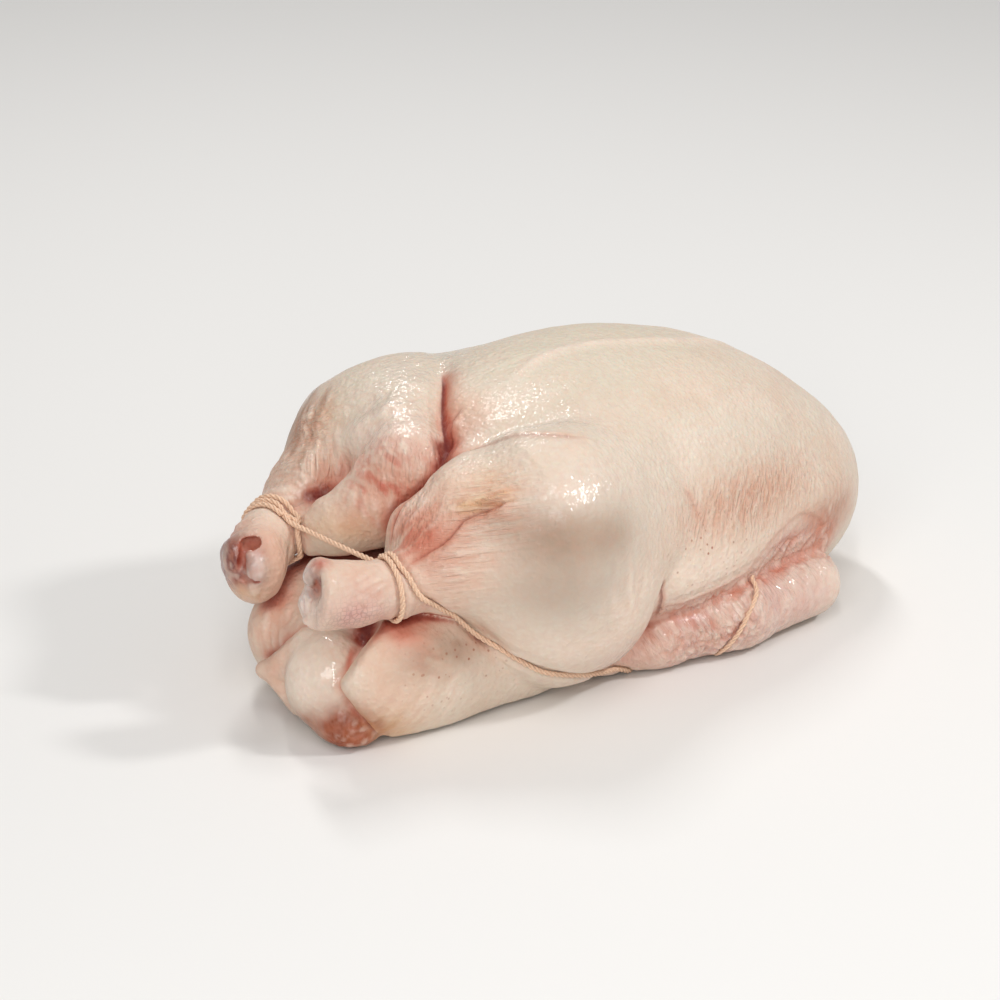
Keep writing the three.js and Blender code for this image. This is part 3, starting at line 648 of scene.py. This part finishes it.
def layered(p, cell, seed, layers=3):
    """Noise in layers, each half as wide and half as strong as the one before."""
    return sum(noise(p, cell / 2**n, seed + n) / 2**n for n in range(layers))


def streaks(p, along, cell, stretch, seed):
    """Noise drawn out along one direction, as wrinkles are."""
    t = np.array(along, float) / np.linalg.norm(along)
    return layered(p - np.outer(p @ t, t) * (1 - 1 / stretch), cell, seed, 2)


def spot(p, centre, reach):
    """1 at the centre, fading to nothing a little past the reach each way."""
    q = (p - np.array(centre, float)) / np.array(reach, float)
    return np.exp(-(q * q).sum(1))


def smooth_line(points, step):
    """Points a step apart on a smooth curve through guide points."""
    g = np.array(points, float)
    g = np.vstack([2 * g[0] - g[1], g, 2 * g[-1] - g[-2]])
    made = []
    for a, b, c, d in zip(g, g[1:], g[2:], g[3:]):
        n = max(1, int(round(np.linalg.norm((c - b)[:3]) / step)))
        square = 2 * a - 5 * b + 4 * c - d
        cube = 3 * b - a - 3 * c + d
        for t in np.arange(n) / n:
            made.append(0.5 * (2 * b + (c - a) * t + square * t**2 + cube * t**3))
    made.append(g[-2])
    return np.array(made)


def beside(p, n, line):
    """How far points lie from a line on the skin, to which side of it, and how far along it as a share."""
    best = np.full(len(p), FAR_OFF)
    side = np.zeros(len(p))
    share = np.zeros(len(p))
    last = len(line) - 1
    for i in range(last):
        e = line[i + 1] - line[i]
        low = np.minimum(line[i], line[i + 1]) - LINE_REACH
        high = np.maximum(line[i], line[i + 1]) + LINE_REACH
        some = np.flatnonzero(((p > low) & (p < high)).all(1))
        r = p[some] - line[i]
        t = np.clip(r @ e / (e @ e), 0, 1)
        off = r - t[:, None] * e
        away = np.sqrt((off * off).sum(1))
        closer = away < best[some]
        found = some[closer]
        best[found] = away[closer]
        side[found] = np.sign((np.cross(n[found], e) * off[closer]).sum(1))
        share[found] = (i + t[closer]) / last
    return best, side, share


def srgb(red, green, blue):
    """A colour given as 0 to 255 screen values, as the plain light values that shading works in."""
    screen = [value / 255 for value in (red, green, blue)]
    return tuple(c / 12.92 if c <= 0.04045 else ((c + 0.055) / 1.055) ** 2.4 for c in screen)


def length(name, description, metres):
    """A size setting."""
    return bpy.props.FloatProperty(name=name, description=description, default=metres, unit="LENGTH")


class DuckSizes(bpy.types.PropertyGroup):
    """Sizes of the bird's finish and its twine."""

    cell: length("Skin Cell", "Width of one face of the skin", 0.0010)
    bump: length("Goose Bump", "Distance between feather follicles", 0.0021)
    twine: length("Twine Radius", "Half the thickness of the twine", 0.00125)
    lay: length("Twine Lay", "Length of one full turn of a strand", 0.0085)


def colour(name, description, red, green, blue):
    """A colour setting given as screen values."""
    return bpy.props.FloatVectorProperty(
        name=name, description=description, default=srgb(red, green, blue),
        size=3, subtype="COLOR", min=0, max=1)


class DuckColours(bpy.types.PropertyGroup):
    """Colours of the skin, the cut joints and the twine, and the colour of the painted shade in creases."""

    cream: colour("Cream", "Skin over fat, on the breast", 222, 209, 191)
    # Used as painted shade on the upper surfaces, with a cooler tone.
    top: colour("Breast Top", "Cooler skin along the breastbone", 212, 204, 183)
    # Also laid as painted light and painted highlight on lit places of the far thigh, the near flap and the
    # lower flank.
    pale: colour("Pale", "Palest skin, stretched thin", 238, 220, 203)
    beige: colour("Beige", "Duller skin", 218, 186, 162)
    pink: colour("Pink", "Skin over muscle", 226, 184, 160)
    # Also laid as painted shade in hollows and in the grooves of wrinkles.
    rose: colour("Rose", "Skin near a joint", 208, 142, 116)
    blush: colour("Blush", "Cool pink skin on the wing", 214, 170, 162)
    # Also laid as painted shade in hollows, creases and fold gaps.
    red: colour("Red", "Blood under the skin", 192, 88, 66)
    # Painted shade: a very dark red laid deep in creases, recesses, fold gaps and the far hock's grooves,
    # where shade falls.
    crease_shade: colour("Dark", "Deep in a crease", 112, 14, 9)
    # Also laid as painted shadow on the hip under the thigh.
    grey: colour("Grey", "Muscle seen through wet skin", 158, 130, 108)
    blue: colour("Blue Grey", "Sinew seen through wet skin", 204, 192, 177)
    # Also laid as painted shade under the thigh, on the hip and in the fold there.
    brown: colour("Brown", "Stained skin on the tail", 148, 68, 28)
    fat: colour("Fat", "Yellow fat", 224, 183, 132)
    bone: colour("Gristle", "White end of a joint", 222, 212, 208)
    plum: colour("Plum", "Dark end of a joint", 102, 48, 42)
    twine: colour("Twine", "Cotton kitchen twine", 246, 208, 178)


def power(name, description, watts):
    """A lamp's power setting."""
    return bpy.props.FloatProperty(name=name, description=description, default=watts, unit="POWER")


class DuckLight(bpy.types.PropertyGroup):
    """The stage and its light."""

    floor: colour("Floor", "Plain pale floor", 236, 234, 231)
    key: power("Key", "Power of the main lamp", 6.4)
    fill: power("Fill", "Power of the lamp on the left", 4.0)
    top: power("Top", "Power of the lamp overhead", 5.0)
    strip: power("Strip", "Power of the tall lamp on the left", 7.0)
    sky: bpy.props.FloatProperty(name="Sky", description="Strength of the light all round", default=0.38)


def ankle_axis(side):
    """Direction of a leg where the twine goes round it."""
    axis = np.array((19.0, side * 6.0, 0.0))
    return axis / np.linalg.norm(axis)


def wrap(field, side, axis, level, centre, start, stop):
    """Turns of twine round an ankle, from one angle to another, a pitch apart along the leg."""
    out = np.array((0.0, side, 0.0))
    out -= axis * (out @ axis)
    out /= np.linalg.norm(out)
    up = np.array((0.0, 0.0, 1.0))
    up -= axis * (up @ axis)
    up /= np.linalg.norm(up)
    count = math.ceil(abs(stop - start) / WRAP_STEP)
    angle = np.radians(start + (stop - start) * np.arange(count + 1) / count)
    turn = np.abs(angle - angle[0]) / (2 * math.pi)
    ring = np.outer(np.cos(angle), out) + np.outer(np.sin(angle), up)
    return settle(np.array(centre) + np.outer(turn, axis) * WRAP_PITCH + WRAP_RADIUS * ring, field, level, 6)


def mirrored(points, side):
    """Guide points on one side of the bird."""
    return np.array(points, float) * (1, side, 1)


def above_floor(points):
    """Points kept clear of the surface that the bird lies on."""
    points[:, 2] = np.maximum(points[:, 2], TWINE_FLOOR)
    return points


def leg_path(field):
    """The line of the twine from under one thigh, round both ankles, to under the other thigh."""

    def thigh(side):
        run = settle(mirrored(THIGH_RUN, side), field, TWINE_LIFT)
        return above_floor(np.vstack([run, mirrored(THIGH_TUCK, side)]))

    far = wrap(field, 1, -ankle_axis(1), WRAP_LIFT, **FAR_WRAP)
    near = wrap(field, -1, ankle_axis(-1), WRAP_LIFT, **NEAR_WRAP)
    return np.vstack([thigh(1)[::-1], far, near, thigh(-1)])


def wing_path(field):
    """The line of the twine round both wings and under the back."""

    def wing(side):
        run = above_floor(settle(mirrored(WING_RUN, side), field, TWINE_LIFT))
        return np.vstack([mirrored(WING_TUCK, side), run, mirrored(WING_UNDER, side)])

    return np.vstack([wing(-1), wing(1)[::-1]])


def laid_line(field, guide, step):
    """A smooth line through guide points that never goes under the skin."""
    line = smooth_line(guide, step)
    sunk = field(*line.T) < TWINE_LIFT
    line[sunk] = settle(line[sunk], field, TWINE_LIFT, 4)
    for _ in range(3):
        line[1:-1] = (line[:-2] + 2 * line[1:-1] + line[2:]) / 4
    return above_floor(line)


def mirror_line(line):
    """A line on the other side of the bird, run the other way so that its lip stays on the same edge."""
    return [(x, -y, z) for x, y, z in reversed(line)]


class Near:
    """How near each point of the skin is to each named line."""

    def __init__(self, p, n, field):
        self.p, self.n, self.field = p, n, field
        self.known = {}

    def __getitem__(self, name):
        if name not in self.known:
            line = LINES[name]
            guides = (line, mirror_line(line)) if name in PAIRED_LINES else (line,)
            laid = [settle(smooth_line(guide, 4), self.field) for guide in guides]
            self.known[name] = [beside(self.p, self.n, line) for line in laid]
        return self.known[name]

    def band(self, name, width, side=0):
        """1 along a line, fading out over a width beside it, or on one side of it, and towards its ends."""
        total = np.zeros(len(self.p))
        for away, which, share in self[name]:
            ends = np.clip(6 * np.minimum(share, 1 - share) + 0.15, 0, 1)
            kept = 0.5 + 0.5 * np.tanh(side * which * away / 0.5) if side else 1.0
            total = np.maximum(total, kept * ends * np.exp(-((away / width) ** 2)))
        return total


def folds(near):
    """How far the folds of skin stand out or in, how deep in their painted shadow each point is, how far it
    is from the nearest edge, with the gap below zero, and how strong the painted shadow line at that edge is."""
    stand, shade, firm = (np.zeros(len(near.p)) for _ in range(3))
    edge = np.full(len(near.p), FAR_OFF)
    for name, lip, gap, wide, narrow, crease_shade in FOLDS:
        for away, side, share in near[name]:
            over = 0.5 + 0.5 * np.tanh(side * away / 0.7)
            ends = np.clip(6 * np.minimum(share, 1 - share), 0, 1)
            raised = over * lip * np.exp(-((away / wide) ** 2))
            sunk = (1 - over) * gap * np.exp(-away / narrow)
            stand += ends * (raised - sunk)
            shade = np.maximum(shade, crease_shade * ends * (1 - over) * np.exp(-away / narrow))
            closer = away < np.abs(edge)
            edge = np.where(closer, side * away, edge)
            firm = np.where(closer, crease_shade * ends * np.clip(2 - away / EDGE_REACH, 0, 1), firm)
    for name, height, width in RIDGES:
        stand += height * near.band(name, width)
    return stand, shade, np.clip(edge, -LINE_REACH, LINE_REACH), firm


def crinkles(p):
    """How far the wrinkles in the skin stand out or in."""
    d, pair = np.zeros(len(p)), near_side(p)
    for seed, (height, centre, reach, along, cell, stretch, paired) in enumerate(WRINKLES):
        q = pair if paired else p
        share = spot(q, centre, reach)
        some = np.flatnonzero(share > SLIGHT)
        lines = np.abs(streaks(q[some], along, cell, stretch, 60 + seed)) * 2.2 - 0.7
        d[some] += height * share[some] * lines
    return d


def veins(p, centre, reach, along, cell, stretch, seed):
    """Streaks from 0 to 1 that fade out round a place."""
    share = spot(p, centre, reach)
    some = np.flatnonzero(share > SLIGHT)
    drawn = np.zeros(len(p))
    drawn[some] = share[some] * np.clip(0.4 + 1.8 * streaks(p[some], along, cell, stretch, seed), 0, 1)
    return drawn


def detail(p, n, twines):
    """How far each point of the skin stands out or in: lumps, swellings and the press of the twine."""
    d = 0.35 * layered(p, 16, 1) + 0.06 * layered(p, 4.5, 5)
    pair = near_side(p)
    for height, centre, reach, paired in SWELLS:
        d += height * spot(pair if paired else p, centre, reach)
    for line in twines:
        away, _, _ = beside(p, n, line[::3])
        d += -1.0 * np.exp(-((away / 1.9) ** 2)) + 0.45 * np.exp(-(((away - 3.4) / 1.6) ** 2))
    return d


def near_side(p):
    """Points with the far side of the bird folded over on to the near side."""
    return np.column_stack([p[:, 0], -np.abs(p[:, 1]), p[:, 2]])


def paint(p, hollow, shade, crinkle, near, tint):
    """Colour of each point of the skin: its own colours, with painted shade in hollows, creases and fold
    gaps, and painted light on some lit places and on wrinkle ridges.
    """
    pair = near_side(p)
    ragged = 1 + 0.25 * layered(p, 13, 31) + 0.2 * layered(p, 4, 35)
    colours = np.tile(np.array(tint.cream), (len(p), 1))

    def stain(name, share):
        share = np.clip(share, 0, 1)[:, None]
        colours[:] = colours * (1 - share) + np.array(getattr(tint, name)) * share

    def uneven(name):
        return 0.6 + 0.4 * ragged if name in EVEN_COLOURS else ragged

    stain("beige", 0.3 * np.clip(0.4 + layered(p, 22, 41), 0, 1))
    stain("pale", 0.35 * np.clip(0.3 + layered(p, 17, 45), 0, 1))
    for name, strength, centre, reach, paired in DABS:
        stain(name, strength * uneven(name) * spot(pair if paired else p, centre, reach))
    for seed, (name, strength, centre, reach, along, cell, stretch, paired) in enumerate(MOTTLES):
        stain(name, strength * veins(pair if paired else p, centre, reach, along, cell, stretch, 90 + seed))
    # Painted shade in hollows: the skin is laid towards rose where other skin closes round it.
    stain("rose", 0.5 * np.clip(hollow * 1.6 - 0.4, 0, 1) * ragged)
    for line, name, strength, width, side in STROKES:
        stain(name, strength * uneven(name) * near.band(line, width, side))
    # Painted shade in the valleys of the wrinkles and painted light on their ridges.
    stain("rose", np.clip(-1.2 * crinkle, 0, 0.5))
    stain("pale", np.clip(1.0 * crinkle - 0.05, 0, 0.4))
    # Painted shade growing in the deepest hollows, red and then near black.
    stain("red", 0.8 * np.clip(hollow * 2.2 - 1.0, 0, 1))
    stain("crease_shade", 0.7 * np.clip(hollow * 2.6 - 1.5, 0, 1))
    # Painted shadow in the gaps under the edges of the folds.
    stain("red", 0.6 * shade)
    stain("crease_shade", 0.6 * np.clip(1.6 * shade - 0.8, 0, 1))
    return colours


def finish_of(p, hollow, near):
    """How wet, pimpled, pored, scaly, calm and finely wrinkled the skin is, each from 0 to 1."""
    pair = near_side(p)
    wet = 0.04 + 0.1 * layered(p, 20, 51)
    for centre, reach, paired in WET:
        wet += 1.5 * spot(pair if paired else p, centre, reach)
    wet = wet * np.clip(1.4 - 2 * hollow, 0, 1)
    for crease in DRY_CREASES:
        wet = wet * (1 - near.band(crease, DRY_WIDTH))
    finish = {
        "wet": wet,
        "pimple": 0.5 + 0.5 * spot(pair, *BUMPY) - 0.3 * spot(pair, *SLEEK),
        "pores": sum(spot(pair, *place) for place in PORED),
        "net": spot(pair, *SCALY),
        "calm": spot(p, *CALM),
    }
    for name, _, _, _, _, places in GRAINS:
        q = p if name in ONE_SIDED_GRAINS else pair
        finish[name] = sum(spot(q, *place) for place in places)
    return {name: np.clip(share, 0, 1) for name, share in finish.items()}


def mesh_object(name, points, faces, smooth=True):
    """A mesh piece from points in millimetres in the bird's frame and faces of four corners."""
    mesh = bpy.data.meshes.new(name)
    placed = ((points - (MIDDLE, 0, 0)) * MM).astype(np.float32)
    corners = faces.shape[1]
    mesh.vertices.add(len(placed))
    mesh.vertices.foreach_set("co", placed.ravel())
    mesh.loops.add(faces.size)
    mesh.loops.foreach_set("vertex_index", faces.astype(np.int32).ravel())
    mesh.polygons.add(len(faces))
    mesh.polygons.foreach_set("loop_start", np.arange(0, faces.size, corners, dtype=np.int32))
    mesh.polygons.foreach_set("use_smooth", np.full(len(faces), smooth))
    mesh.update()
    if mesh.validate():
        raise RuntimeError(name + " has faulty faces")
    made = bpy.data.objects.new(name, mesh)
    bpy.context.scene.collection.objects.link(made)
    return made


def store(mesh, name, values):
    """Keeps one number or one colour for each point of a mesh."""
    if values.ndim == 1:
        mesh.attributes.new(name, "FLOAT", "POINT").data.foreach_set("value", values.astype(np.float32))
        return
    four = np.column_stack([values, np.ones(len(values))]).astype(np.float32)
    mesh.attributes.new(name, "FLOAT_COLOR", "POINT").data.foreach_set("color", four.ravel())


class Nodes:
    """Short ways to lay out a material's nodes."""

    def __init__(self, name):
        self.material = bpy.data.materials.new(name)
        self.material.use_nodes = True
        self.tree = self.material.node_tree
        self.shader = self.tree.nodes["Principled BSDF"]

    def add(self, kind, inputs=None, **settings):
        """A new node with its settings made and its inputs fed."""
        node = self.tree.nodes.new(kind)
        for key, value in settings.items():
            setattr(node, key, value)
        for key, value in (inputs or {}).items():
            self.feed(node.inputs[key], value)
        return node

    def feed(self, socket, value):
        """Links a socket to another, or sets it to a plain value."""
        if isinstance(value, bpy.types.NodeSocket):
            self.tree.links.new(value, socket)
        else:
            socket.default_value = value

    def value(self, name):
        """A number kept for each point of the mesh."""
        return self.add("ShaderNodeAttribute", attribute_name=name).outputs["Fac"]

    def math(self, operation, a, b, clamp=False):
        """One sum on two values."""
        return self.add("ShaderNodeMath", {0: a, 1: b}, operation=operation, use_clamp=clamp).outputs[0]

    def mix(self, share, a, b):
        """One colour laid over another, by a share from 0 to 1."""
        node = self.add("ShaderNodeMix", data_type="RGBA")
        self.feed(node.inputs["Factor"], share)
        self.feed(node.inputs[6], a)
        self.feed(node.inputs[7], b)
        return node.outputs[2]

    def drawn(self, place, along, stretch, scale):
        """Noise drawn out along one direction."""
        turn = Vector(along).to_track_quat("X", "Z").to_euler()
        inputs = {"Vector": place, "Rotation": turn, "Scale": (stretch, 1.0, 1.0)}
        laid = self.add("ShaderNodeMapping", inputs, vector_type="TEXTURE").outputs["Vector"]
        return self.noise(laid, scale, 2.0)

    def noise(self, place, scale, detail):
        """Cloudy noise, its clouds one part in scale of a metre wide."""
        keys = {"Vector": place, "Scale": scale, "Detail": detail}
        return self.add("ShaderNodeTexNoise", keys).outputs["Fac"]

    def cells(self, place, scale, scatter, feature="F1"):
        """Distances in a pattern of cells, as many in a metre as scale says."""
        keys = {"Vector": place, "Scale": scale, "Randomness": scatter}
        return self.add("ShaderNodeTexVoronoi", keys, feature=feature).outputs["Distance"]

    def bump(self, height, strength, distance):
        """A normal that follows a height of at most a distance in metres."""
        keys = {"Height": height, "Strength": strength, "Distance": distance}
        return self.add("ShaderNodeBump", keys).outputs["Normal"]

    def spread(self, value, low, high, to_low, to_high):
        """A value moved from one range to another and kept inside it."""
        keys = {"Value": value, "From Min": low, "From Max": high, "To Min": to_low, "To Max": to_high}
        return self.add("ShaderNodeMapRange", keys).outputs["Result"]


def skin_material(bump, tint):
    """Moist raw skin: painted colour with painted shadow at fold edges and painted shade in wrinkle grooves,
    follicles, pores, fine wrinkles and a wet film.
    """
    nodes = Nodes("skin")
    place = nodes.add("ShaderNodeTexCoord").outputs["Object"]
    painted = nodes.add("ShaderNodeAttribute", attribute_name="paint").outputs["Color"]
    wet, pimple, pores, net, edge, firm = (
        nodes.value(name) for name in ("wet", "pimple", "pores", "net", "edge", "firm"))
    rose, crease_shade, brown, plum = (tuple(c) + (1,) for c in (tint.rose, tint.crease_shade, tint.brown, tint.plum))
    scale = nodes.cells(place, 480.0, 0.5, "DISTANCE_TO_EDGE")
    between = nodes.math("MULTIPLY", nodes.spread(scale, 0.02, 0.16, 1.0, 0.0), net)
    follicle = nodes.cells(place, 1 / bump, 0.8, "SMOOTH_F1")
    fine = nodes.noise(place, 900.0, 3.0)
    mottle = nodes.noise(place, 260.0, 4.0)
    dot = nodes.cells(place, 260.0, 1.0)
    colour = nodes.mix(nodes.spread(mottle, 0.35, 0.75, 0.0, 0.12), painted, rose)
    in_follicle = nodes.math("MULTIPLY", nodes.spread(follicle, 0.2, 0.6, 0.0, 0.2), pimple)
    colour = nodes.mix(in_follicle, colour, rose)
    height = nodes.math("MULTIPLY", nodes.spread(follicle, 0.0, 0.7, 1.0, 0.0), pimple)
    height = nodes.math("ADD", height, nodes.math("MULTIPLY", fine, 0.3))
    height = nodes.math("SUBTRACT", height, nodes.math("MULTIPLY", between, 0.2))
    for name, along, stretch, count, strength, _ in GRAINS:
        rise = nodes.spread(nodes.drawn(place, along, stretch, count), 0.35, 0.65, 0.0, 1.0)
        zone = nodes.value(name)
        low = nodes.math("MULTIPLY", nodes.math("SUBTRACT", 1.0, rise), zone)
        low = nodes.math("MULTIPLY", low, strength)
        # Painted shade in the grooves of the fine wrinkles: the low parts are laid towards rose.
        colour = nodes.mix(nodes.math("MULTIPLY", low, 0.4), colour, rose)
        height = nodes.math("SUBTRACT", height, low)
    in_pore = nodes.math("MULTIPLY", nodes.spread(dot, 0.1, 0.18, 0.75, 0.0), pores)
    colour = nodes.mix(in_pore, colour, brown)
    colour = nodes.mix(nodes.math("MULTIPLY", between, 0.3), colour, plum)
    # Painted shadow: a dark line on the gap side of each fold's edge, where the lip shades the skin behind
    # it.
    gap = nodes.spread(edge, -1.8, 0.0, 0.0, 1.0)
    lip = nodes.spread(edge, 0.0, 0.4, 1.0, 0.0)
    painted_gap_shadow = nodes.math("MULTIPLY", nodes.math("MULTIPLY", gap, lip), firm)
    colour = nodes.mix(painted_gap_shadow, colour, crease_shade)
    # The painted shadow's strength also raises a small step in the bump at the edge.
    height = nodes.math("ADD", height, nodes.math("MULTIPLY", nodes.spread(edge, -0.5, 0.5, 0.0, 1.5), firm))
    nodes.feed(nodes.shader.inputs["Base Color"], colour)
    film = nodes.math("ADD", wet, nodes.spread(mottle, 0.3, 0.7, -0.15, 0.15), True)
    nodes.feed(nodes.shader.inputs["Roughness"], nodes.spread(film, 0.0, 1.0, 0.5, 0.42))
    nodes.feed(nodes.shader.inputs["Normal"], nodes.bump(height, 1.0, 0.0007))
    nodes.shader.inputs["Subsurface Weight"].default_value = 0.2
    nodes.shader.inputs["Subsurface Radius"].default_value = (1.0, 0.42, 0.25)
    nodes.shader.inputs["Subsurface Scale"].default_value = 0.0012
    nodes.shader.inputs["Specular IOR Level"].default_value = 0.3
    nodes.feed(nodes.shader.inputs["Coat Weight"], film)
    nodes.shader.inputs["Coat Roughness"].default_value = 0.06
    glint = nodes.drawn(place, (0.26, 0.29, 0.92), 3.0, 450.0)
    rough = nodes.spread(nodes.value("calm"), 0.0, 0.6, 1.0, 0.12)
    nodes.feed(nodes.shader.inputs["Coat Normal"], nodes.bump(glint, rough, 0.0008))
    return nodes.material


def twine_material(tint):
    """Twisted cotton: warm, matt and a little fuzzy."""
    nodes = Nodes("twine")
    place = nodes.add("ShaderNodeTexCoord").outputs["Object"]
    fibre = nodes.noise(place, 1500.0, 3.0)
    deep = tuple(c * 0.8 for c in tint.twine)
    shade = nodes.mix(nodes.spread(fibre, 0.35, 0.65, 0.0, 1.0), deep + (1,), tuple(tint.twine) + (1,))
    nodes.feed(nodes.shader.inputs["Base Color"], shade)
    nodes.shader.inputs["Roughness"].default_value = 0.85
    nodes.feed(nodes.shader.inputs["Normal"], nodes.bump(fibre, 0.5, 0.0003))
    return nodes.material


def frames_along(line):
    """Direction and two square directions at each point of a line, turning as little as possible."""
    ahead = np.gradient(line, axis=0)
    ahead /= np.linalg.norm(ahead, axis=1)[:, None]
    across = np.empty_like(line)
    start = np.cross(ahead[0], (0.0, 0.0, 1.0))
    across[0] = start / np.linalg.norm(start)
    for i in range(1, len(line)):
        turned = across[i - 1] - ahead[i] * (across[i - 1] @ ahead[i])
        across[i] = turned / np.linalg.norm(turned)
    return across, np.cross(ahead, across)


def cord_mesh(line, radius, lay, strands=3, sides=8):
    """Points and faces of a cord laid up from twisted strands along a line."""
    across, over = frames_along(line)
    run = np.concatenate([[0], np.cumsum(np.linalg.norm(np.diff(line, axis=0), axis=1))])
    thin, off = 0.56 * radius, 0.5 * radius
    points, faces = [], []
    for s in range(strands):
        turn = 2 * math.pi * (run / lay + s / strands)
        middle = line + off * (np.cos(turn)[:, None] * across + np.sin(turn)[:, None] * over)
        base = sum(len(q) for q in points)
        for k in range(sides):
            angle = turn + 2 * math.pi * k / sides
            points.append(middle + thin * (np.cos(angle)[:, None] * across + np.sin(angle)[:, None] * over))
        count = len(line)
        ring = np.arange(count)
        for k in range(sides):
            a, b = base + k * count + ring, base + (k + 1) % sides * count + ring
            faces.append(np.column_stack([a[:-1], a[1:], b[1:], b[:-1]]))
        for end in (0, count - 1):
            loop = [base + k * count + end for k in range(sides)]
            loop = loop if end == 0 else loop[::-1]
            for k in range(1, sides - 2, 2):
                faces.append(np.array([[loop[0], loop[k], loop[k + 1], loop[k + 2]]]))
    return np.vstack(points), np.vstack(faces)


class DUCK_OT_skin(bpy.types.Operator):
    """Builds the whole bird as one skin"""

    bl_idname = "duck.skin"
    bl_label = "Build Skin"

    def execute(self, context):
        sizes, tint = context.scene.duck_sizes, context.scene.duck_colours
        field = body_field()
        cell = sizes.cell / MM * 1
        points, faces = skin_mesh(field, cell)
        points = settle(points, field, 0.0, 2, cell)
        n = slope(field, points)
        n /= np.linalg.norm(n, axis=1)[:, None]
        hollow = np.mean([np.clip(1 - field(*(points + h * n).T) / h, 0, 1) for h in HOLLOW_REACH], axis=0)
        twines = [laid_line(field, path(field), 1.5) for path in (leg_path, wing_path)]
        near = Near(points, n, field)
        stand, shade, edge, firm = folds(near)
        crinkle = crinkles(points)
        colours = paint(points, hollow, shade, crinkle, near, tint)
        finish = finish_of(points, hollow, near)
        points = points + n * (stand + crinkle + detail(points, n, twines))[:, None]
        points[:, 2] = np.maximum(points[:, 2], 0.0)
        made = mesh_object("duck_skin", points, faces[:, ::-1])
        for name, values in {"paint": colours, "edge": edge, "firm": firm, **finish}.items():
            store(made.data, name, values)
        made.data.materials.append(skin_material(sizes.bump, tint))
        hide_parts("duck")
        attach(made, "root")
        return {"FINISHED"}


class DUCK_OT_twine(bpy.types.Operator):
    """Lays the twine round the legs and round the wings"""

    bl_idname = "duck.twine"
    bl_label = "Lay Twine"

    def execute(self, context):
        sizes, tint = context.scene.duck_sizes, context.scene.duck_colours
        field = body_field()
        material = twine_material(tint)
        cords = (("leg_cord", "leg_twine", leg_path, 0.9), ("wing_cord", "wing_twine", wing_path, 0.8))
        for name, node, path, thick in cords:
            line = laid_line(field, path(field), 0.8)
            points, faces = cord_mesh(line, thick * sizes.twine / MM, sizes.lay / MM)
            points[:, 2] = np.maximum(points[:, 2], 0.0)
            made = mesh_object(name, points, faces)
            made.data.materials.append(material)
            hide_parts(node)
            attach(made, "root")
        return {"FINISHED"}


class DUCK_OT_stage(bpy.types.Operator):
    """Sets the floor, the light and the camera"""

    bl_idname = "duck.stage"
    bl_label = "Set Stage"

    def execute(self, context):
        scene, light = context.scene, context.scene.duck_light
        nodes = Nodes("floor")
        nodes.shader.inputs["Base Color"].default_value = tuple(light.floor) + (1,)
        nodes.shader.inputs["Roughness"].default_value = 0.9
        corners = FLOOR_HALF * np.array([[-1, -1, 0], [1, -1, 0], [1, 1, 0], [-1, 1, 0]])
        floor = mesh_object("floor", corners, np.array([[0, 1, 2, 3]]), False)
        floor.data.materials.append(nodes.material)
        world = bpy.data.worlds.new("soft_room")
        world.use_nodes = True
        world.node_tree.nodes["Background"].inputs["Color"].default_value = (1, 1, 1, 1)
        world.node_tree.nodes["Background"].inputs["Strength"].default_value = light.sky
        scene.world = world
        for name, (place, size, tall) in LAMPS.items():
            self.lamp(scene, name, place, size, getattr(light, name), tall)
        scene.view_settings.view_transform = "Standard"
        azimuth, elevation = math.radians(EYE_AZIMUTH), math.radians(EYE_ELEVATION)
        right = Vector((math.cos(azimuth), math.sin(azimuth), 0))
        level = Vector((-math.sin(azimuth), math.cos(azimuth), 0))
        ahead = level * math.cos(elevation) - Vector((0, 0, math.sin(elevation)))
        up = right.cross(ahead)
        camera = bpy.data.objects.new("camera", bpy.data.cameras.new("camera"))
        camera.data.lens, camera.data.sensor_width = LENS, SENSOR
        camera.matrix_world = Matrix.Translation(EYE) @ Matrix((right, up, -ahead)).transposed().to_4x4()
        scene.collection.objects.link(camera)
        scene.camera = camera
        return {"FINISHED"}

    def lamp(self, scene, name, place, size, watts, tall):
        """A round lamp, or a tall one where its height is given."""
        data = bpy.data.lights.new(name, "AREA")
        data.shape, data.size, data.energy = "DISK", size, watts
        if tall:
            data.shape, data.size_y = "RECTANGLE", tall
        lamp = bpy.data.objects.new(name, data)
        lamp.location = place
        lamp.rotation_euler = (Vector(LAMP_AIM) - Vector(place)).to_track_quat("-Z", "Y").to_euler()
        scene.collection.objects.link(lamp)


class DUCK_PT_looks(bpy.types.Panel):
    """Settings and steps of the duck's looks"""

    bl_label = "Duck"
    bl_idname = "DUCK_PT_looks"
    bl_space_type = "VIEW_3D"
    bl_region_type = "UI"
    bl_category = "Duck"

    def draw(self, context):
        for group in (context.scene.duck_sizes, context.scene.duck_colours, context.scene.duck_light):
            box = self.layout.box()
            for key in group.__annotations__:
                box.prop(group, key)
        for step in STEPS:
            self.layout.operator(step)


CLASSES = (DuckSizes, DuckColours, DuckLight, DUCK_OT_skin, DUCK_OT_twine, DUCK_OT_stage, DUCK_PT_looks)
STEPS = ("duck.skin", "duck.twine", "duck.stage")


def register():
    for cls in CLASSES:
        bpy.utils.register_class(cls)
    bpy.types.Scene.duck_sizes = bpy.props.PointerProperty(type=DuckSizes)
    bpy.types.Scene.duck_colours = bpy.props.PointerProperty(type=DuckColours)
    bpy.types.Scene.duck_light = bpy.props.PointerProperty(type=DuckLight)


def unregister():
    del bpy.types.Scene.duck_light
    del bpy.types.Scene.duck_colours
    del bpy.types.Scene.duck_sizes
    for cls in reversed(CLASSES):
        bpy.utils.unregister_class(cls)


def main():
    register()
    for step in STEPS:
        group, name = step.split(".")
        getattr(getattr(bpy.ops, group), name)()


if __name__ == "__main__":
    main()
